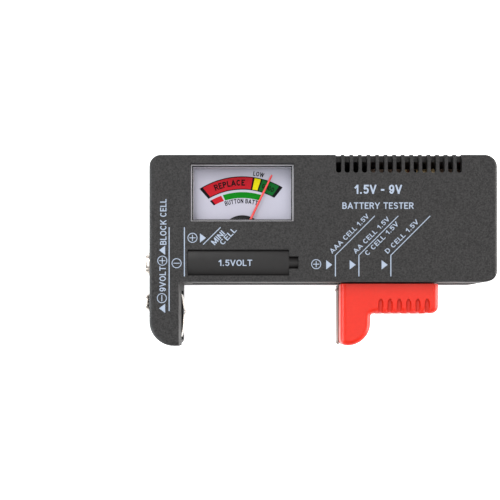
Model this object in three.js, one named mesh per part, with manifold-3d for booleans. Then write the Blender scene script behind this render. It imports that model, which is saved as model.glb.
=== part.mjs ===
// Pocket battery tester: a two-part case with a pointer meter, a fixed leg at one end and a
// sliding jaw that clamps a cell against the leg. Millimetres. The tester lies on its back:
// +X runs along the case, +Y towards the vented edge, +Z out of the front face.
// The origin is under the middle of the whole tester, on the surface it rests on.

import * as THREE from 'three';
import { mergeVertices } from 'three/addons/utils/BufferGeometryUtils.js';
import Module from 'manifold-3d';

const wasm = await Module();
wasm.setup();

// ---------------------------------------------------------------- driving dimensions

const CASE_LENGTH = 110;
const CASE_WIDTH = 60.5;
const CASE_DEPTH = 25;
const SNAP_PROUD = 2.4;
const BODY_WIDTH = 40.25;
const LEG_LENGTH_X = 9.4;
const WALL = 2;
const FRONT_WALL = 2.2;
const GAP = 0.3;
const SEAM_Z = CASE_DEPTH / 2;

const LEFT = SNAP_PROUD - (CASE_LENGTH + SNAP_PROUD) / 2;
const RIGHT = LEFT + CASE_LENGTH;
const TOP = CASE_WIDTH / 2;
const LEG_END = -CASE_WIDTH / 2;
const BODY_EDGE = TOP - BODY_WIDTH;
const LEG_FACE = LEFT + LEG_LENGTH_X;
const FRONT_INSIDE = CASE_DEPTH - FRONT_WALL;
const FRONT_FILLET = 1.3;
const BACK_FILLET = 1.4;
const CORNER_TOP_LEFT = 3.7;
const CORNER_RIGHT = 4;
const CORNER_LEG = 7.4;
const CORNER_LEG_INNER_BACK = 1.6;

// Window and meter
const WINDOW = { x0: LEFT + 13, x1: LEFT + 45.75, y0: TOP - 21.15, y1: TOP - 2.85 };
const LENS_RECESS = 2.4;
const LENS_PLATE = 1;
const LENS_SKIRT = 0.85;
const PIVOT_X = (WINDOW.x0 + WINDOW.x1) / 2;
const PIVOT_Y = 4.8;
const POINTER_RADIUS = 22;
const POINTER_REST_DEG = 25.7;
const POINTER_Z = 19.1;
const POINTER_THICK = 0.4;
const DIAL_Z = 18;
const DIAL_THICK = 0.8;
const SHIELD_RADIUS = 7;
const CORE_RADIUS = 3.5;
const YOKE_INNER = 4.9;
const YOKE_OUTER = 6.2;
const CORE_Z = [8.8, 14.2];

// Sliding jaw, at rest on a cell about 50 mm long
const JAW_FACE = 7;
const JAW_END = 38.3;
const JAW_TOP = BODY_EDGE - 0.5;
const JAW_FLOOR = LEG_END + 0.05;
const JAW_GRIP_EDGE = -19.85;
const JAW_Z = [3, 22];
const JAW_FINGER_END = 16.6;
const JAW_TRAVEL = [-47.5, 15.4];
const NECK_X = [JAW_FACE + 1.15, JAW_END - 0.9];
const COLLAR_END = JAW_END - 0.2;
const NECK_THICK = 3.6;
const SLOT_THICK = 4.4;

// Contacts
const CONTACT_Z = [7, 13];
const LEG_SLOT_Y = [-28.5, -12.2];
const LEG_PIP_Y = LEG_END + 11;
const SNAP_PITCH = 12.7;
const SNAP_MID_Y = -9.85;
const SNAP_Y = [SNAP_MID_Y - SNAP_PITCH / 2, SNAP_MID_Y + SNAP_PITCH / 2];
const SNAP_HOLE = 4.5;
const BOARD_Z = 11.5;
const BOARD_THICK = 1.2;
const BOARD_X = [18, 47.2];
const BOARD_Y = [8, 27.6];
const BOARD_SCREW_REACH = 5.5;

// ---------------------------------------------------------------- solid helpers

function solid(geometry) {
  const plain = geometry.index ? geometry.toNonIndexed() : geometry.clone();
  plain.deleteAttribute('normal');
  plain.deleteAttribute('uv');
  const merged = mergeVertices(plain, 1e-5);
  return new wasm.Manifold(new wasm.Mesh({
    numProp: 3,
    vertProperties: new Float32Array(merged.attributes.position.array),
    triVerts: new Uint32Array(merged.index.array),
  }));
}

function toGeometry(manifold) {
  const mesh = manifold.getMesh();
  const geometry = new THREE.BufferGeometry();
  geometry.setAttribute('position', new THREE.BufferAttribute(new Float32Array(mesh.vertProperties), 3));
  geometry.setIndex(new THREE.BufferAttribute(new Uint32Array(mesh.triVerts), 1));
  geometry.computeVertexNormals();
  return geometry;
}

function box(x0, x1, y0, y1, z0, z1) {
  const geometry = new THREE.BoxGeometry(x1 - x0, y1 - y0, z1 - z0);
  geometry.translate((x0 + x1) / 2, (y0 + y1) / 2, (z0 + z1) / 2);
  return solid(geometry);
}

// A round bar along Z; its two end radii may differ.
function rod(x, y, z0, z1, r0, r1 = r0, sides = 24) {
  const geometry = new THREE.CylinderGeometry(r1, r0, z1 - z0, sides);
  geometry.rotateX(Math.PI / 2);
  geometry.translate(x, y, (z0 + z1) / 2);
  return solid(geometry);
}

// The same along X.
function rodX(x0, x1, y, z, r0, r1 = r0, sides = 24) {
  const geometry = new THREE.CylinderGeometry(r1, r0, x1 - x0, sides);
  geometry.rotateZ(-Math.PI / 2);
  geometry.translate((x0 + x1) / 2, y, z);
  return solid(geometry);
}

// Points of a closed outline, counter-clockwise, from corners given as [x, y, radius].
function roundedPoints(corners, arcSteps = 6) {
  const points = [];
  corners.forEach(([x, y, radius], i) => {
    const corner = new THREE.Vector2(x, y);
    if (!radius) {
      points.push(corner);
      return;
    }
    const before = corners[(i + corners.length - 1) % corners.length];
    const after = corners[(i + 1) % corners.length];
    const back = new THREE.Vector2(before[0], before[1]).sub(corner).normalize();
    const ahead = new THREE.Vector2(after[0], after[1]).sub(corner).normalize();
    const half = Math.acos(back.dot(ahead)) / 2;
    const middle = back.clone().add(ahead).normalize();
    const centre = corner.clone().addScaledVector(middle, radius / Math.sin(half));
    const start = corner.clone().addScaledVector(back, radius / Math.tan(half)).sub(centre);
    const end = corner.clone().addScaledVector(ahead, radius / Math.tan(half)).sub(centre);
    const turn = Math.atan2(start.cross(end), start.dot(end));
    for (let k = 0; k <= arcSteps; k += 1) {
      const arm = start.clone().rotateAround(new THREE.Vector2(), (turn * k) / arcSteps);
      points.push(centre.clone().add(arm));
    }
  });
  return points;
}

function prism(corners, z0, z1, arcSteps) {
  const shape = new THREE.Shape(roundedPoints(corners, arcSteps));
  const geometry = new THREE.ExtrudeGeometry(shape, { depth: z1 - z0, bevelEnabled: false });
  geometry.translate(0, 0, z0);
  return solid(geometry);
}

// A prism whose two end faces have rounded edges of the given fillet.
function pillow(corners, z0, z1, fillet, arcSteps, filletSteps = 3) {
  const shape = new THREE.Shape(roundedPoints(corners, arcSteps));
  const geometry = new THREE.ExtrudeGeometry(shape, {
    depth: z1 - z0 - 2 * fillet,
    bevelEnabled: true,
    bevelThickness: fillet,
    bevelSize: fillet,
    bevelOffset: -fillet,
    bevelSegments: filletSteps,
  });
  geometry.translate(0, 0, z0 + fillet);
  return solid(geometry);
}

// Sheet metal bent in the XY plane: a centre line of [x, y] points, widened and extruded in Z.
function bentStrip(line, thickness, z0, z1) {
  const side = (sign) => line.map(([x, y], i) => {
    const before = line[Math.max(i - 1, 0)];
    const after = line[Math.min(i + 1, line.length - 1)];
    const along = new THREE.Vector2(after[0] - before[0], after[1] - before[1]).normalize();
    return [x - (sign * along.y * thickness) / 2, y + (sign * along.x * thickness) / 2, 0];
  });
  return prism([...side(-1), ...side(1).reverse()], z0, z1);
}

// A round wire along a smooth path through [x, y, z] points.
function wire(points, radius, steps = 14, sides = 8) {
  const path = new THREE.CatmullRomCurve3(points.map((p) => new THREE.Vector3(...p)));
  const ring = [];
  for (let k = 0; k < sides; k += 1) {
    const angle = (2 * Math.PI * k) / sides;
    ring.push(new THREE.Vector2(radius * Math.cos(angle), radius * Math.sin(angle)));
  }
  const geometry = new THREE.ExtrudeGeometry(new THREE.Shape(ring), { steps, extrudePath: path });
  return solid(geometry);
}

// ---------------------------------------------------------------- case

// The flag-shaped outline of body and leg, pulled in by inset.
function caseCorners(inset, innerCorner) {
  const radius = (r) => Math.max(r - inset, 0.4);
  return [
    [LEFT + inset, LEG_END + inset, Math.min(radius(CORNER_LEG), LEG_LENGTH_X - 2 * inset - 0.5)],
    [LEG_FACE - inset, LEG_END + inset, innerCorner],
    [LEG_FACE - inset, BODY_EDGE + inset, 0],
    [RIGHT - inset, BODY_EDGE + inset, radius(CORNER_RIGHT)],
    [RIGHT - inset, TOP - inset, radius(CORNER_RIGHT)],
    [LEFT + inset, TOP - inset, radius(CORNER_TOP_LEFT)],
  ];
}

const SCREWS = [[LEFT + 5.4, TOP - 5.8], [RIGHT - 5.4, TOP - 5.8], [LEFT + 4.2, LEG_END + 5.2]];
const SCREW_HOLE = 1.3;
const BOSS_RADIUS = [3, 3, 2.4];
const HEAD_SEAT_Z = 4.2;
const HEAD_HOLE = [2.3, 2.3, 2.1];
const SCREW_TIP_Z = 19;
const PEGS_X = [-42.2, 51.4];
const BOARD_POSTS = [[22, 12], [44, 12]];

// The jaw's slot along the lower edge, which both halves of the case share.
const slotX = [JAW_FACE - 0.1 + JAW_TRAVEL[0] - GAP, COLLAR_END + JAW_TRAVEL[1] + GAP];

function sharedOpenings(half) {
  let cut = half.subtract(box(slotX[0], slotX[1], BODY_EDGE - 1, BODY_EDGE + WALL + 0.1,
    SEAM_Z - SLOT_THICK / 2, SEAM_Z + SLOT_THICK / 2));
  cut = cut.subtract(box(LEG_FACE - WALL - 0.1, LEG_FACE + 1, ...LEG_SLOT_Y,
    CONTACT_Z[0] - GAP, CONTACT_Z[1] + GAP));
  for (const y of SNAP_Y) {
    cut = cut.subtract(rodX(LEFT - 1, LEFT + WALL + 0.1, y, SEAM_Z, SNAP_HOLE));
  }
  return cut;
}

const VENT_PITCH = 2.713;
const VENT_WIDTH = 1.713;
const VENT_COUNT = 15;
const VENT_FIRST_X = LEFT + 59.8;
const VENT_END_Y = TOP - 5.89;
const VENT_NOTCH = 3.1;

// Printed-battery relief: a half-round cell lying in a shallow pocket.
const RELIEF = { x0: LEFT + 12.17, x1: LEFT + 44.21, y0: TOP - 38.3, y1: TOP - 30.04, depth: 1 };
const RELIEF_NUB = { x1: LEFT + 47.1, y0: TOP - 36.14, y1: TOP - 32.19 };

function frontShell() {
  const envelope = pillow([
    [LEFT, LEG_END, CORNER_LEG], [RIGHT, LEG_END, CORNER_RIGHT],
    [RIGHT, TOP, CORNER_RIGHT], [LEFT, TOP, CORNER_TOP_LEFT],
  ], 0, CASE_DEPTH, FRONT_FILLET, 8);
  const seam = SEAM_Z + GAP / 2;
  let shell = prism(caseCorners(0, 0), seam, CASE_DEPTH).intersect(envelope);
  shell = shell.subtract(prism(caseCorners(WALL, 0), seam - 1, FRONT_INSIDE));
  SCREWS.forEach(([x, y], i) => {
    shell = shell.add(rod(x, y, seam, FRONT_INSIDE + 0.5, BOSS_RADIUS[i], BOSS_RADIUS[i], 16));
    shell = shell.subtract(rod(x, y, seam - 1, FRONT_INSIDE - 1, SCREW_HOLE, SCREW_HOLE, 12));
  });
  shell = sharedOpenings(shell);
  shell = shell.subtract(box(WINDOW.x0, WINDOW.x1, WINDOW.y0, WINDOW.y1, FRONT_INSIDE - 1, CASE_DEPTH + 1));
  for (let i = 0; i < VENT_COUNT; i += 1) {
    const x = VENT_FIRST_X + i * VENT_PITCH;
    const r = VENT_WIDTH / 2;
    const z = CASE_DEPTH - VENT_NOTCH;
    const slot = box(x - r, x + r, VENT_END_Y + r, TOP + 1, z, CASE_DEPTH + 1);
    shell = shell.subtract(slot.add(rod(x, VENT_END_Y + r, z, CASE_DEPTH + 1, r, r, 12)));
  }
  const floor = CASE_DEPTH - RELIEF.depth;
  const pocket = box(RELIEF.x0, RELIEF.x1, RELIEF.y0, RELIEF.y1, floor, CASE_DEPTH + 1)
    .add(box(RELIEF.x1 - 1, RELIEF_NUB.x1, RELIEF_NUB.y0, RELIEF_NUB.y1, floor, CASE_DEPTH + 1));
  return shell.subtract(pocket).add(halfRound(RELIEF, RELIEF.x1)).add(halfRound(RELIEF_NUB, RELIEF_NUB.x1));
}

// The crown of the moulded cell, across the pocket and up to the front face.
function halfRound({ y0, y1 }, end) {
  const rise = RELIEF.depth - 0.1;
  const half = (y1 - y0) / 2 - 0.1;
  const radius = (half * half + rise * rise) / (2 * rise);
  const middle = (y0 + y1) / 2;
  const floor = CASE_DEPTH - RELIEF.depth;
  const round = rodX(RELIEF.x0 + 0.01, end - 0.15, middle, floor + rise - radius, radius, radius, 96);
  return round.intersect(box(RELIEF.x0, end, y0, y1, floor - 0.2, CASE_DEPTH));
}

function backShell() {
  const seam = SEAM_Z - GAP / 2;
  const whole = pillow(caseCorners(0, CORNER_LEG_INNER_BACK), 0, CASE_DEPTH, BACK_FILLET, 7);
  let shell = whole.subtract(box(LEFT - 1, RIGHT + 1, LEG_END - 1, TOP + 1, seam, CASE_DEPTH + 1));
  shell = shell.subtract(prism(caseCorners(WALL, 0.4), WALL, CASE_DEPTH));
  SCREWS.forEach(([x, y], i) => {
    shell = shell.add(rod(x, y, WALL - 0.5, seam, BOSS_RADIUS[i], BOSS_RADIUS[i], 16));
    shell = shell.subtract(rod(x, y, -1, HEAD_SEAT_Z, HEAD_HOLE[i], HEAD_HOLE[i], 16));
    shell = shell.subtract(rod(x, y, 0, seam + 1, SCREW_HOLE, SCREW_HOLE, 12));
  });
  for (const [x, y] of BOARD_POSTS) {
    shell = shell.add(rod(x, y, WALL - 0.5, BOARD_Z - GAP, 2.2, 2.2, 12));
    shell = shell.subtract(rod(x, y, BOARD_Z - BOARD_SCREW_REACH - 1, BOARD_Z, 0.9, 0.9, 10));
  }
  for (const x of PEGS_X) {
    shell = shell.add(rod(x, RAIL_Y, WALL - 0.5, WALL + 2, 0.7, 0.7, 10));
  }
  return sharedOpenings(shell);
}

function caseScrew([x, y]) {
  const head = rod(x, y, HEAD_SEAT_Z - 1.8, HEAD_SEAT_Z - GAP, 1.5, 1.85, 16);
  const shank = rod(x, y, HEAD_SEAT_Z - GAP - 0.1, SCREW_TIP_Z, 1, 0.7, 12);
  const cross = box(x - 1.2, x + 1.2, y - 0.25, y + 0.25, 0, HEAD_SEAT_Z - 1)
    .add(box(x - 0.25, x + 0.25, y - 1.2, y + 1.2, 0, HEAD_SEAT_Z - 1));
  return head.add(shank).subtract(cross);
}

// ---------------------------------------------------------------- meter

const LENS_FRONT = CASE_DEPTH - LENS_RECESS;
const LENS_BACK = POINTER_Z + POINTER_THICK + 0.45;
const BASE = {
  x0: WINDOW.x0 - 2.4,
  x1: WINDOW.x1 + 2.4,
  y0: PIVOT_Y - 7.2,
  y1: TOP - WALL - GAP,
  z0: 4,
  z1: 21.3,
  wall: 0.7,
};

function windowCover() {
  const plate = box(WINDOW.x0 - 1.5, WINDOW.x1 + 1.5, WINDOW.y0 - 1.5, WINDOW.y1 + 0.4,
    LENS_FRONT - LENS_PLATE, LENS_FRONT);
  const outer = box(WINDOW.x0 + 0.05, WINDOW.x1 - 0.05, WINDOW.y0 + 0.05, WINDOW.y1 - 0.05,
    LENS_BACK, LENS_FRONT - 0.5);
  const inner = box(WINDOW.x0 + LENS_SKIRT, WINDOW.x1 - LENS_SKIRT, WINDOW.y0 + LENS_SKIRT,
    WINDOW.y1 - LENS_SKIRT, LENS_BACK - 1, LENS_FRONT - LENS_PLATE);
  return plate.add(outer).subtract(inner);
}

function meterBase() {
  const { x0, x1, y0, y1, z0, z1, wall } = BASE;
  const ledge = DIAL_Z - DIAL_THICK - GAP;
  return box(x0, x1, y0, y1, z0, z1)
    .subtract(box(x0 + wall, x1 - wall, y0 + wall, y1 - wall, ledge, z1 + 1))
    .subtract(box(x0 + 2.5, x1 - 2.5, y0 + wall, y1 - 2.5, z0 + 1, z1))
    .subtract(box(x0 + wall, x1 - wall, y1 - 2 * wall, y1 + 1, LENS_BACK - GAP, z1 + 1));
}

function dialPlate() {
  const inset = BASE.wall + GAP;
  const plate = box(BASE.x0 + inset, BASE.x1 - inset, BASE.y0 + inset, BASE.y1 - inset,
    DIAL_Z - DIAL_THICK, DIAL_Z);
  return plate.subtract(box(PIVOT_X - 7, PIVOT_X + 7, BASE.y0, PIVOT_Y + 3, DIAL_Z - 2, DIAL_Z + 1));
}

// The black half-round plate that closes the dial's notch around the pivot.
function dialShield() {
  const z0 = DIAL_Z + GAP;
  const r = SHIELD_RADIUS;
  const disc = rod(PIVOT_X, PIVOT_Y, z0, z0 + 0.4, r, r, 64);
  return disc.intersect(box(PIVOT_X - r, PIVOT_X + r, PIVOT_Y + 2.2, PIVOT_Y + r + 1, DIAL_Z, DIAL_Z + 2));
}

// Turns a piece that was drawn with the pointer straight up to the reading at rest.
function atReading(manifold) {
  return manifold.translate([-PIVOT_X, -PIVOT_Y, 0]).rotate([0, 0, -POINTER_REST_DEG])
    .translate([PIVOT_X, PIVOT_Y, 0]);
}

function pointer() {
  const z1 = POINTER_Z + POINTER_THICK;
  const arm = prism([[PIVOT_X - 0.45, PIVOT_Y, 0], [PIVOT_X + 0.45, PIVOT_Y, 0],
    [PIVOT_X + 0.3, PIVOT_Y + POINTER_RADIUS, 0], [PIVOT_X - 0.3, PIVOT_Y + POINTER_RADIUS, 0]],
  POINTER_Z, z1);
  const tail = box(PIVOT_X - 0.4, PIVOT_X + 0.4, PIVOT_Y - 4.6, PIVOT_Y, POINTER_Z, z1);
  const hub = rod(PIVOT_X, PIVOT_Y, POINTER_Z, z1, 1.6);
  return atReading(arm.add(tail).add(hub).subtract(rod(PIVOT_X, PIVOT_Y, 0, 30, 0.8)));
}

function balanceWeight() {
  const y = PIVOT_Y - 3.6;
  return atReading(box(PIVOT_X - 0.9, PIVOT_X + 0.9, y - 0.8, y + 0.8, POINTER_Z - 0.35, POINTER_Z + 0.75)
    .subtract(box(PIVOT_X - 0.6, PIVOT_X + 0.6, y - 1, y + 1, POINTER_Z - 0.2, POINTER_Z + 0.6)));
}

function movingCoil() {
  const z0 = CORE_Z[0] - 1;
  const z1 = CORE_Z[1] + 1;
  const outer = YOKE_INNER - 0.4;
  const inner = CORE_RADIUS + 0.4;
  return atReading(box(PIVOT_X - outer, PIVOT_X + outer, PIVOT_Y - 1, PIVOT_Y + 1, z0, z1)
    .subtract(box(PIVOT_X - inner, PIVOT_X + inner, PIVOT_Y - 2, PIVOT_Y + 2, z0 + 0.6, z1 - 0.6)));
}

function pivotPin(z0, z1, collarZ, tipUp) {
  const collar = rod(PIVOT_X, PIVOT_Y, collarZ, collarZ + 0.5, 0.75, 0.75, 12);
  const [low, high] = tipUp ? [0.45, 0.25] : [0.25, 0.45];
  const pin = rod(PIVOT_X, PIVOT_Y, z0, z1, low, high, 12);
  return pin.add(collar);
}

function coreSpacer(side) {
  const y = PIVOT_Y + side * (CORE_RADIUS + YOKE_INNER) / 2;
  return box(PIVOT_X - 0.6, PIVOT_X + 0.6, y - 0.4, y + 0.4, 10.5, 12.5);
}

const BAR_Z = [5.3, 20.4];
const BAR_THICK = 0.8;

// A bar across the movement with two feet that stand on the yoke.
function bridge(barZ, feetZ) {
  let bar = box(PIVOT_X - YOKE_OUTER, PIVOT_X + YOKE_OUTER, PIVOT_Y - 1.5, PIVOT_Y + 1.5,
    barZ, barZ + BAR_THICK);
  for (const side of [-1, 1]) {
    const x = PIVOT_X + side * (YOKE_INNER + YOKE_OUTER) / 2;
    bar = bar.add(box(x - 0.6, x + 0.6, PIVOT_Y - 1.2, PIVOT_Y + 1.2, ...feetZ));
  }
  return bar.subtract(rod(PIVOT_X, PIVOT_Y, barZ - 1, barZ + 2, 1.3, 1.3, 16));
}

function jewelScrew(z0, pocketZ0, pocketZ1) {
  const pocket = rod(PIVOT_X, PIVOT_Y, pocketZ0, pocketZ1, 0.5, 0.5, 12);
  return rod(PIVOT_X, PIVOT_Y, z0, z0 + 1.3, 1, 1, 16).subtract(pocket);
}

const SPRING_THICK = 0.2;
const SPRING_DEPTH = 0.35;
const SPRING_Z = [6.65, 16.2];

// A flat spiral around the pivot, from the collar out to the bridge's foot.
function hairspring(z0) {
  const turns = 2.5;
  const steps = 44;
  const start = 1.2;
  const spread = 3.2;
  const line = [];
  for (let k = 0; k <= steps; k += 1) {
    const angle = (2 * Math.PI * turns * k) / steps;
    const r = start + (spread * k) / steps;
    line.push([PIVOT_X + r * Math.cos(angle), PIVOT_Y + r * Math.sin(angle)]);
  }
  return bentStrip(line, SPRING_THICK, z0, z0 + SPRING_DEPTH);
}

function meterLug(y) {
  const x = BASE.x1 + GAP;
  return box(x, x + 0.4, y - 1.2, y + 1.2, 6, 10).add(box(x, x + 3.2, y - 0.9, y + 0.9, 8, 8.4));
}

// ---------------------------------------------------------------- sliding jaw

const GROOVES = 6;
const GROOVE_PITCH = 2.96;
const GROOVE_FIRST_X = JAW_FACE + 12.72;
const FOOT_Y = [BODY_EDGE + WALL + GAP, BODY_EDGE + WALL + 2.2];
const FOOT_Z = [7.6, 17.4];
const TONGUE_Y = (FOOT_Y[0] + FOOT_Y[1]) / 2;
const TONGUE_Z = 11.9;
const RAIL_Y = BODY_EDGE + WALL + 1.5;

function sliderGrip() {
  const corners = [
    [JAW_FACE, JAW_TOP, 0], [JAW_FACE, JAW_FLOOR, 2], [JAW_FINGER_END, JAW_FLOOR, 7.2],
    [JAW_FINGER_END, JAW_GRIP_EDGE, 1.2], [JAW_END, JAW_GRIP_EDGE, 2.2], [JAW_END, JAW_TOP, 0],
  ];
  let grip = pillow(corners, ...JAW_Z, 1.2, 7);
  const collar = box(NECK_X[0], COLLAR_END, JAW_TOP - 1.6, BODY_EDGE + 1,
    SEAM_Z - NECK_THICK / 2, SEAM_Z + NECK_THICK / 2);
  const neck = box(...NECK_X, JAW_TOP - 1.6, FOOT_Y[0] + 0.5,
    SEAM_Z - NECK_THICK / 2, SEAM_Z + NECK_THICK / 2);
  const foot = box(...NECK_X, ...FOOT_Y, ...FOOT_Z);
  grip = grip.add(collar).add(neck).add(foot);
  for (let i = 0; i < GROOVES; i += 1) {
    const x = GROOVE_FIRST_X + i * GROOVE_PITCH;
    for (const face of JAW_Z) {
      const z0 = face - 0.4;
      const arch = prism([[x - 0.85, JAW_GRIP_EDGE - 1, 0], [x + 0.85, JAW_GRIP_EDGE - 1, 0],
        [x + 0.6, JAW_GRIP_EDGE + 4.6, 0.55], [x - 0.6, JAW_GRIP_EDGE + 4.6, 0.55]], z0, z0 + 0.8, 4);
      grip = grip.subtract(arch);
    }
    grip = grip.subtract(box(x - 0.85, x + 0.85, JAW_GRIP_EDGE - 1, JAW_GRIP_EDGE + 0.35,
      JAW_Z[0] - 1, JAW_Z[1] + 1));
  }
  // Groove that seats the contact strip down the clamping face, and the rivet's hole in the foot
  return grip
    .subtract(box(JAW_FACE - 1, JAW_FACE + 0.55, JAW_FLOOR - 1, JAW_TOP + 1,
      CONTACT_Z[0] - GAP, CONTACT_Z[1] + GAP))
    .subtract(rodX(JAW_FACE, NECK_X[0] + 1.2, TONGUE_Y, TONGUE_Z, 0.7, 0.7, 12));
}

// Nickel strip on the clamping face: a small pip near the top, an end hooked at the bottom and a
// tongue that rises through the slot to the rivet.
function sliderContact() {
  const x = JAW_FACE + 0.1;
  const face = bentStrip([
    [x, JAW_TOP - 0.1], [x, JAW_TOP - 0.9], [x - 0.32, JAW_TOP - 1.5], [x, JAW_TOP - 2.1],
    [x, JAW_FLOOR + 1.6], [x - 0.1, JAW_FLOOR + 0.6], [x + 0.2, JAW_FLOOR + 0.25]], 0.3, ...CONTACT_Z);
  const tongue = box(x - 0.15, x + 0.15, JAW_TOP - 0.6, FOOT_Y[1], TONGUE_Z - 1.1, TONGUE_Z + 1.1);
  return face.add(tongue).subtract(rodX(x - 1, x + 1, TONGUE_Y, TONGUE_Z, 0.7, 0.7, 12));
}

const WIPER_END = JAW_FACE + 22;
const RAIL_Z = [WALL + 0.9, WALL + 1.3];

// Bowed leaf under the foot, which runs along the rail; its upright end sits under the rivet.
function sliderWiper() {
  const x0 = JAW_FACE + 0.57;
  const top = FOOT_Z[0] - GAP - 0.15;
  const low = RAIL_Z[1] + GAP + 0.15;
  const middle = (x0 + WIPER_END) / 2 + 2;
  const leaf = bentStrip([[x0, TONGUE_Z + 1], [x0, top + 0.6], [x0 + 0.25, top + 0.15], [x0 + 0.7, top],
    [middle - 6, top], [middle - 1.6, low + 0.4], [middle, low], [middle + 1.6, low + 0.4],
    [middle + 6, top - 0.1], [WIPER_END, top]], 0.3, -0.8, 0.8);
  return leaf.rotate([90, 0, 0]).translate([0, TONGUE_Y, 0])
    .subtract(rodX(x0 - 1, x0 + 1, TONGUE_Y, TONGUE_Z, 0.6, 0.6, 12));
}

function wiperRivet() {
  return rodX(JAW_FACE - 0.65, JAW_FACE - 0.15, TONGUE_Y, TONGUE_Z, 0.7, 0.9, 12)
    .add(rodX(JAW_FACE - 0.3, JAW_FACE + 2, TONGUE_Y, TONGUE_Z, 0.4, 0.4, 12));
}

function contactRail() {
  let rail = box(PEGS_X[0] - 1.6, PEGS_X[1] + 1.6, RAIL_Y - 1.2, RAIL_Y + 1.2, ...RAIL_Z);
  for (const x of PEGS_X) {
    rail = rail.subtract(rod(x, RAIL_Y, 0, 6, 1, 1, 12));
  }
  return rail;
}

// ---------------------------------------------------------------- end contacts and snaps

// Bowed nickel leaf in the leg's slot: hooked ends inside, a raised pip above its middle.
function legContact() {
  const [y0, y1] = [LEG_SLOT_Y[0] + 0.7, LEG_SLOT_Y[1] - 0.7];
  const x = LEG_FACE;
  const pip = LEG_PIP_Y;
  const line = [
    [x - 2.5, y0 + 0.6], [x - 0.9, y0 + 0.1], [x - 0.2, y0 + 0.7], [x + 0.35, y0 + 3], [x + 0.6, pip - 2],
    [x + 0.75, pip - 0.9], [x + 1.25, pip], [x + 0.75, pip + 0.9], [x + 0.55, pip + 2], [x + 0.2, y1 - 1.8],
    [x - 0.25, y1 - 0.6], [x - 0.9, y1 - 0.1], [x - 2.5, y1 - 0.6]];
  return bentStrip(line, 0.3, ...CONTACT_Z);
}

const PLATE_X = [LEFT + WALL + GAP, LEFT + WALL + GAP + 1.2];

function snapPlate() {
  let plate = box(...PLATE_X, SNAP_MID_Y - 11, SNAP_MID_Y + 11, SEAM_Z - 6.5, SEAM_Z + 6.5);
  for (const y of SNAP_Y) {
    plate = plate.subtract(rodX(PLATE_X[0] - 1, PLATE_X[1] + 1, y, SEAM_Z, 1.6, 1.6, 16));
  }
  return plate;
}

// Socket half of the snap pair: a fluted cup that grips a stud.
function femaleSnap() {
  const y = SNAP_Y[1];
  const outer = LEFT - SNAP_PROUD;
  let cup = rodX(outer, PLATE_X[0] - GAP, y, SEAM_Z, 4.05, 4.05, 6)
    .intersect(rodX(outer, PLATE_X[0] - GAP, y, SEAM_Z, 3.85, 4.1, 32))
    .subtract(rodX(outer - 1, outer + 3, y, SEAM_Z, 2.9, 2.9, 24));
  for (let k = 0; k < 6; k += 1) {
    const angle = (Math.PI * (k + 0.5)) / 3;
    const slit = box(outer - 1, outer + 2, -0.25, 0.25, 2, 5).rotate([(angle * 180) / Math.PI, 0, 0])
      .translate([0, y, SEAM_Z]);
    cup = cup.subtract(slit);
  }
  return cup.subtract(rodX(outer, PLATE_X[0] + 1, y, SEAM_Z, 1.4, 1.4, 16));
}

// Stud half of the snap pair: a waisted button on a flange.
function maleSnap() {
  const y = SNAP_Y[0];
  const outer = LEFT - SNAP_PROUD;
  const profile = [[0, 0], [2.6, 0], [2.85, 0.35], [2.85, 0.9], [2.5, 1.5], [2.5, 2.3], [4.0, 2.6],
    [4.0, PLATE_X[0] - GAP - outer], [0, PLATE_X[0] - GAP - outer]];
  const geometry = new THREE.LatheGeometry(profile.map(([r, h]) => new THREE.Vector2(r, h)), 32);
  geometry.rotateZ(-Math.PI / 2);
  geometry.translate(outer, y, SEAM_Z);
  return solid(geometry).subtract(rodX(outer + 2.5, PLATE_X[0] + 1, y, SEAM_Z, 1.4, 1.4, 16));
}

function snapRivet(y) {
  return rodX(PLATE_X[0] - 1.5, PLATE_X[1] + 0.5, y, SEAM_Z, 1.1, 1.1, 12)
    .add(rodX(PLATE_X[1] + 0.2, PLATE_X[1] + 0.9, y, SEAM_Z, 2.3, 1.8, 16));
}

// ---------------------------------------------------------------- board and wiring

function circuitBoard() {
  let board = box(...BOARD_X, ...BOARD_Y, BOARD_Z, BOARD_Z + BOARD_THICK);
  for (const [x, y] of BOARD_POSTS) {
    board = board.subtract(rod(x, y, BOARD_Z - 1, BOARD_Z + 3, 1.2, 1.2, 12));
  }
  return board;
}

function boardScrew([x, y]) {
  const seat = BOARD_Z + BOARD_THICK + 0.1;
  return rod(x, y, seat, seat + 1.2, 2, 1.5, 16)
    .add(rod(x, y, BOARD_Z - BOARD_SCREW_REACH, seat + 0.2, 0.6, 0.7, 10))
    .subtract(box(x - 1.2, x + 1.2, y - 0.2, y + 0.2, seat + 0.7, seat + 2));
}

// An axial resistor standing just above the board on its two bent leads.
function resistor(x, y, length, radius) {
  const z = BOARD_Z + BOARD_THICK + 0.6 + radius;
  const half = length / 2;
  const waist = radius * 0.88;
  const profile = [[0, -half], [waist, -half + 0.3], [radius, -half + 0.7], [radius, -half + 1.6],
    [waist, -half + 2.1], [waist, half - 2.1], [radius, half - 1.6], [radius, half - 0.7],
    [waist, half - 0.3], [0, half]];
  const geometry = new THREE.LatheGeometry(profile.map(([r, h]) => new THREE.Vector2(r, h)), 14);
  geometry.rotateZ(-Math.PI / 2);
  geometry.translate(x, y, z);
  const foot = BOARD_Z + BOARD_THICK + 0.1;
  const reach = half + 2;
  const leads = wire([[x - reach, y, foot], [x - reach, y, z - 0.6], [x - reach + 0.6, y, z], [x, y, z],
    [x + reach - 0.6, y, z], [x + reach, y, z - 0.6], [x + reach, y, foot]], 0.3, 16, 6);
  return solid(geometry).add(leads);
}

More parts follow.
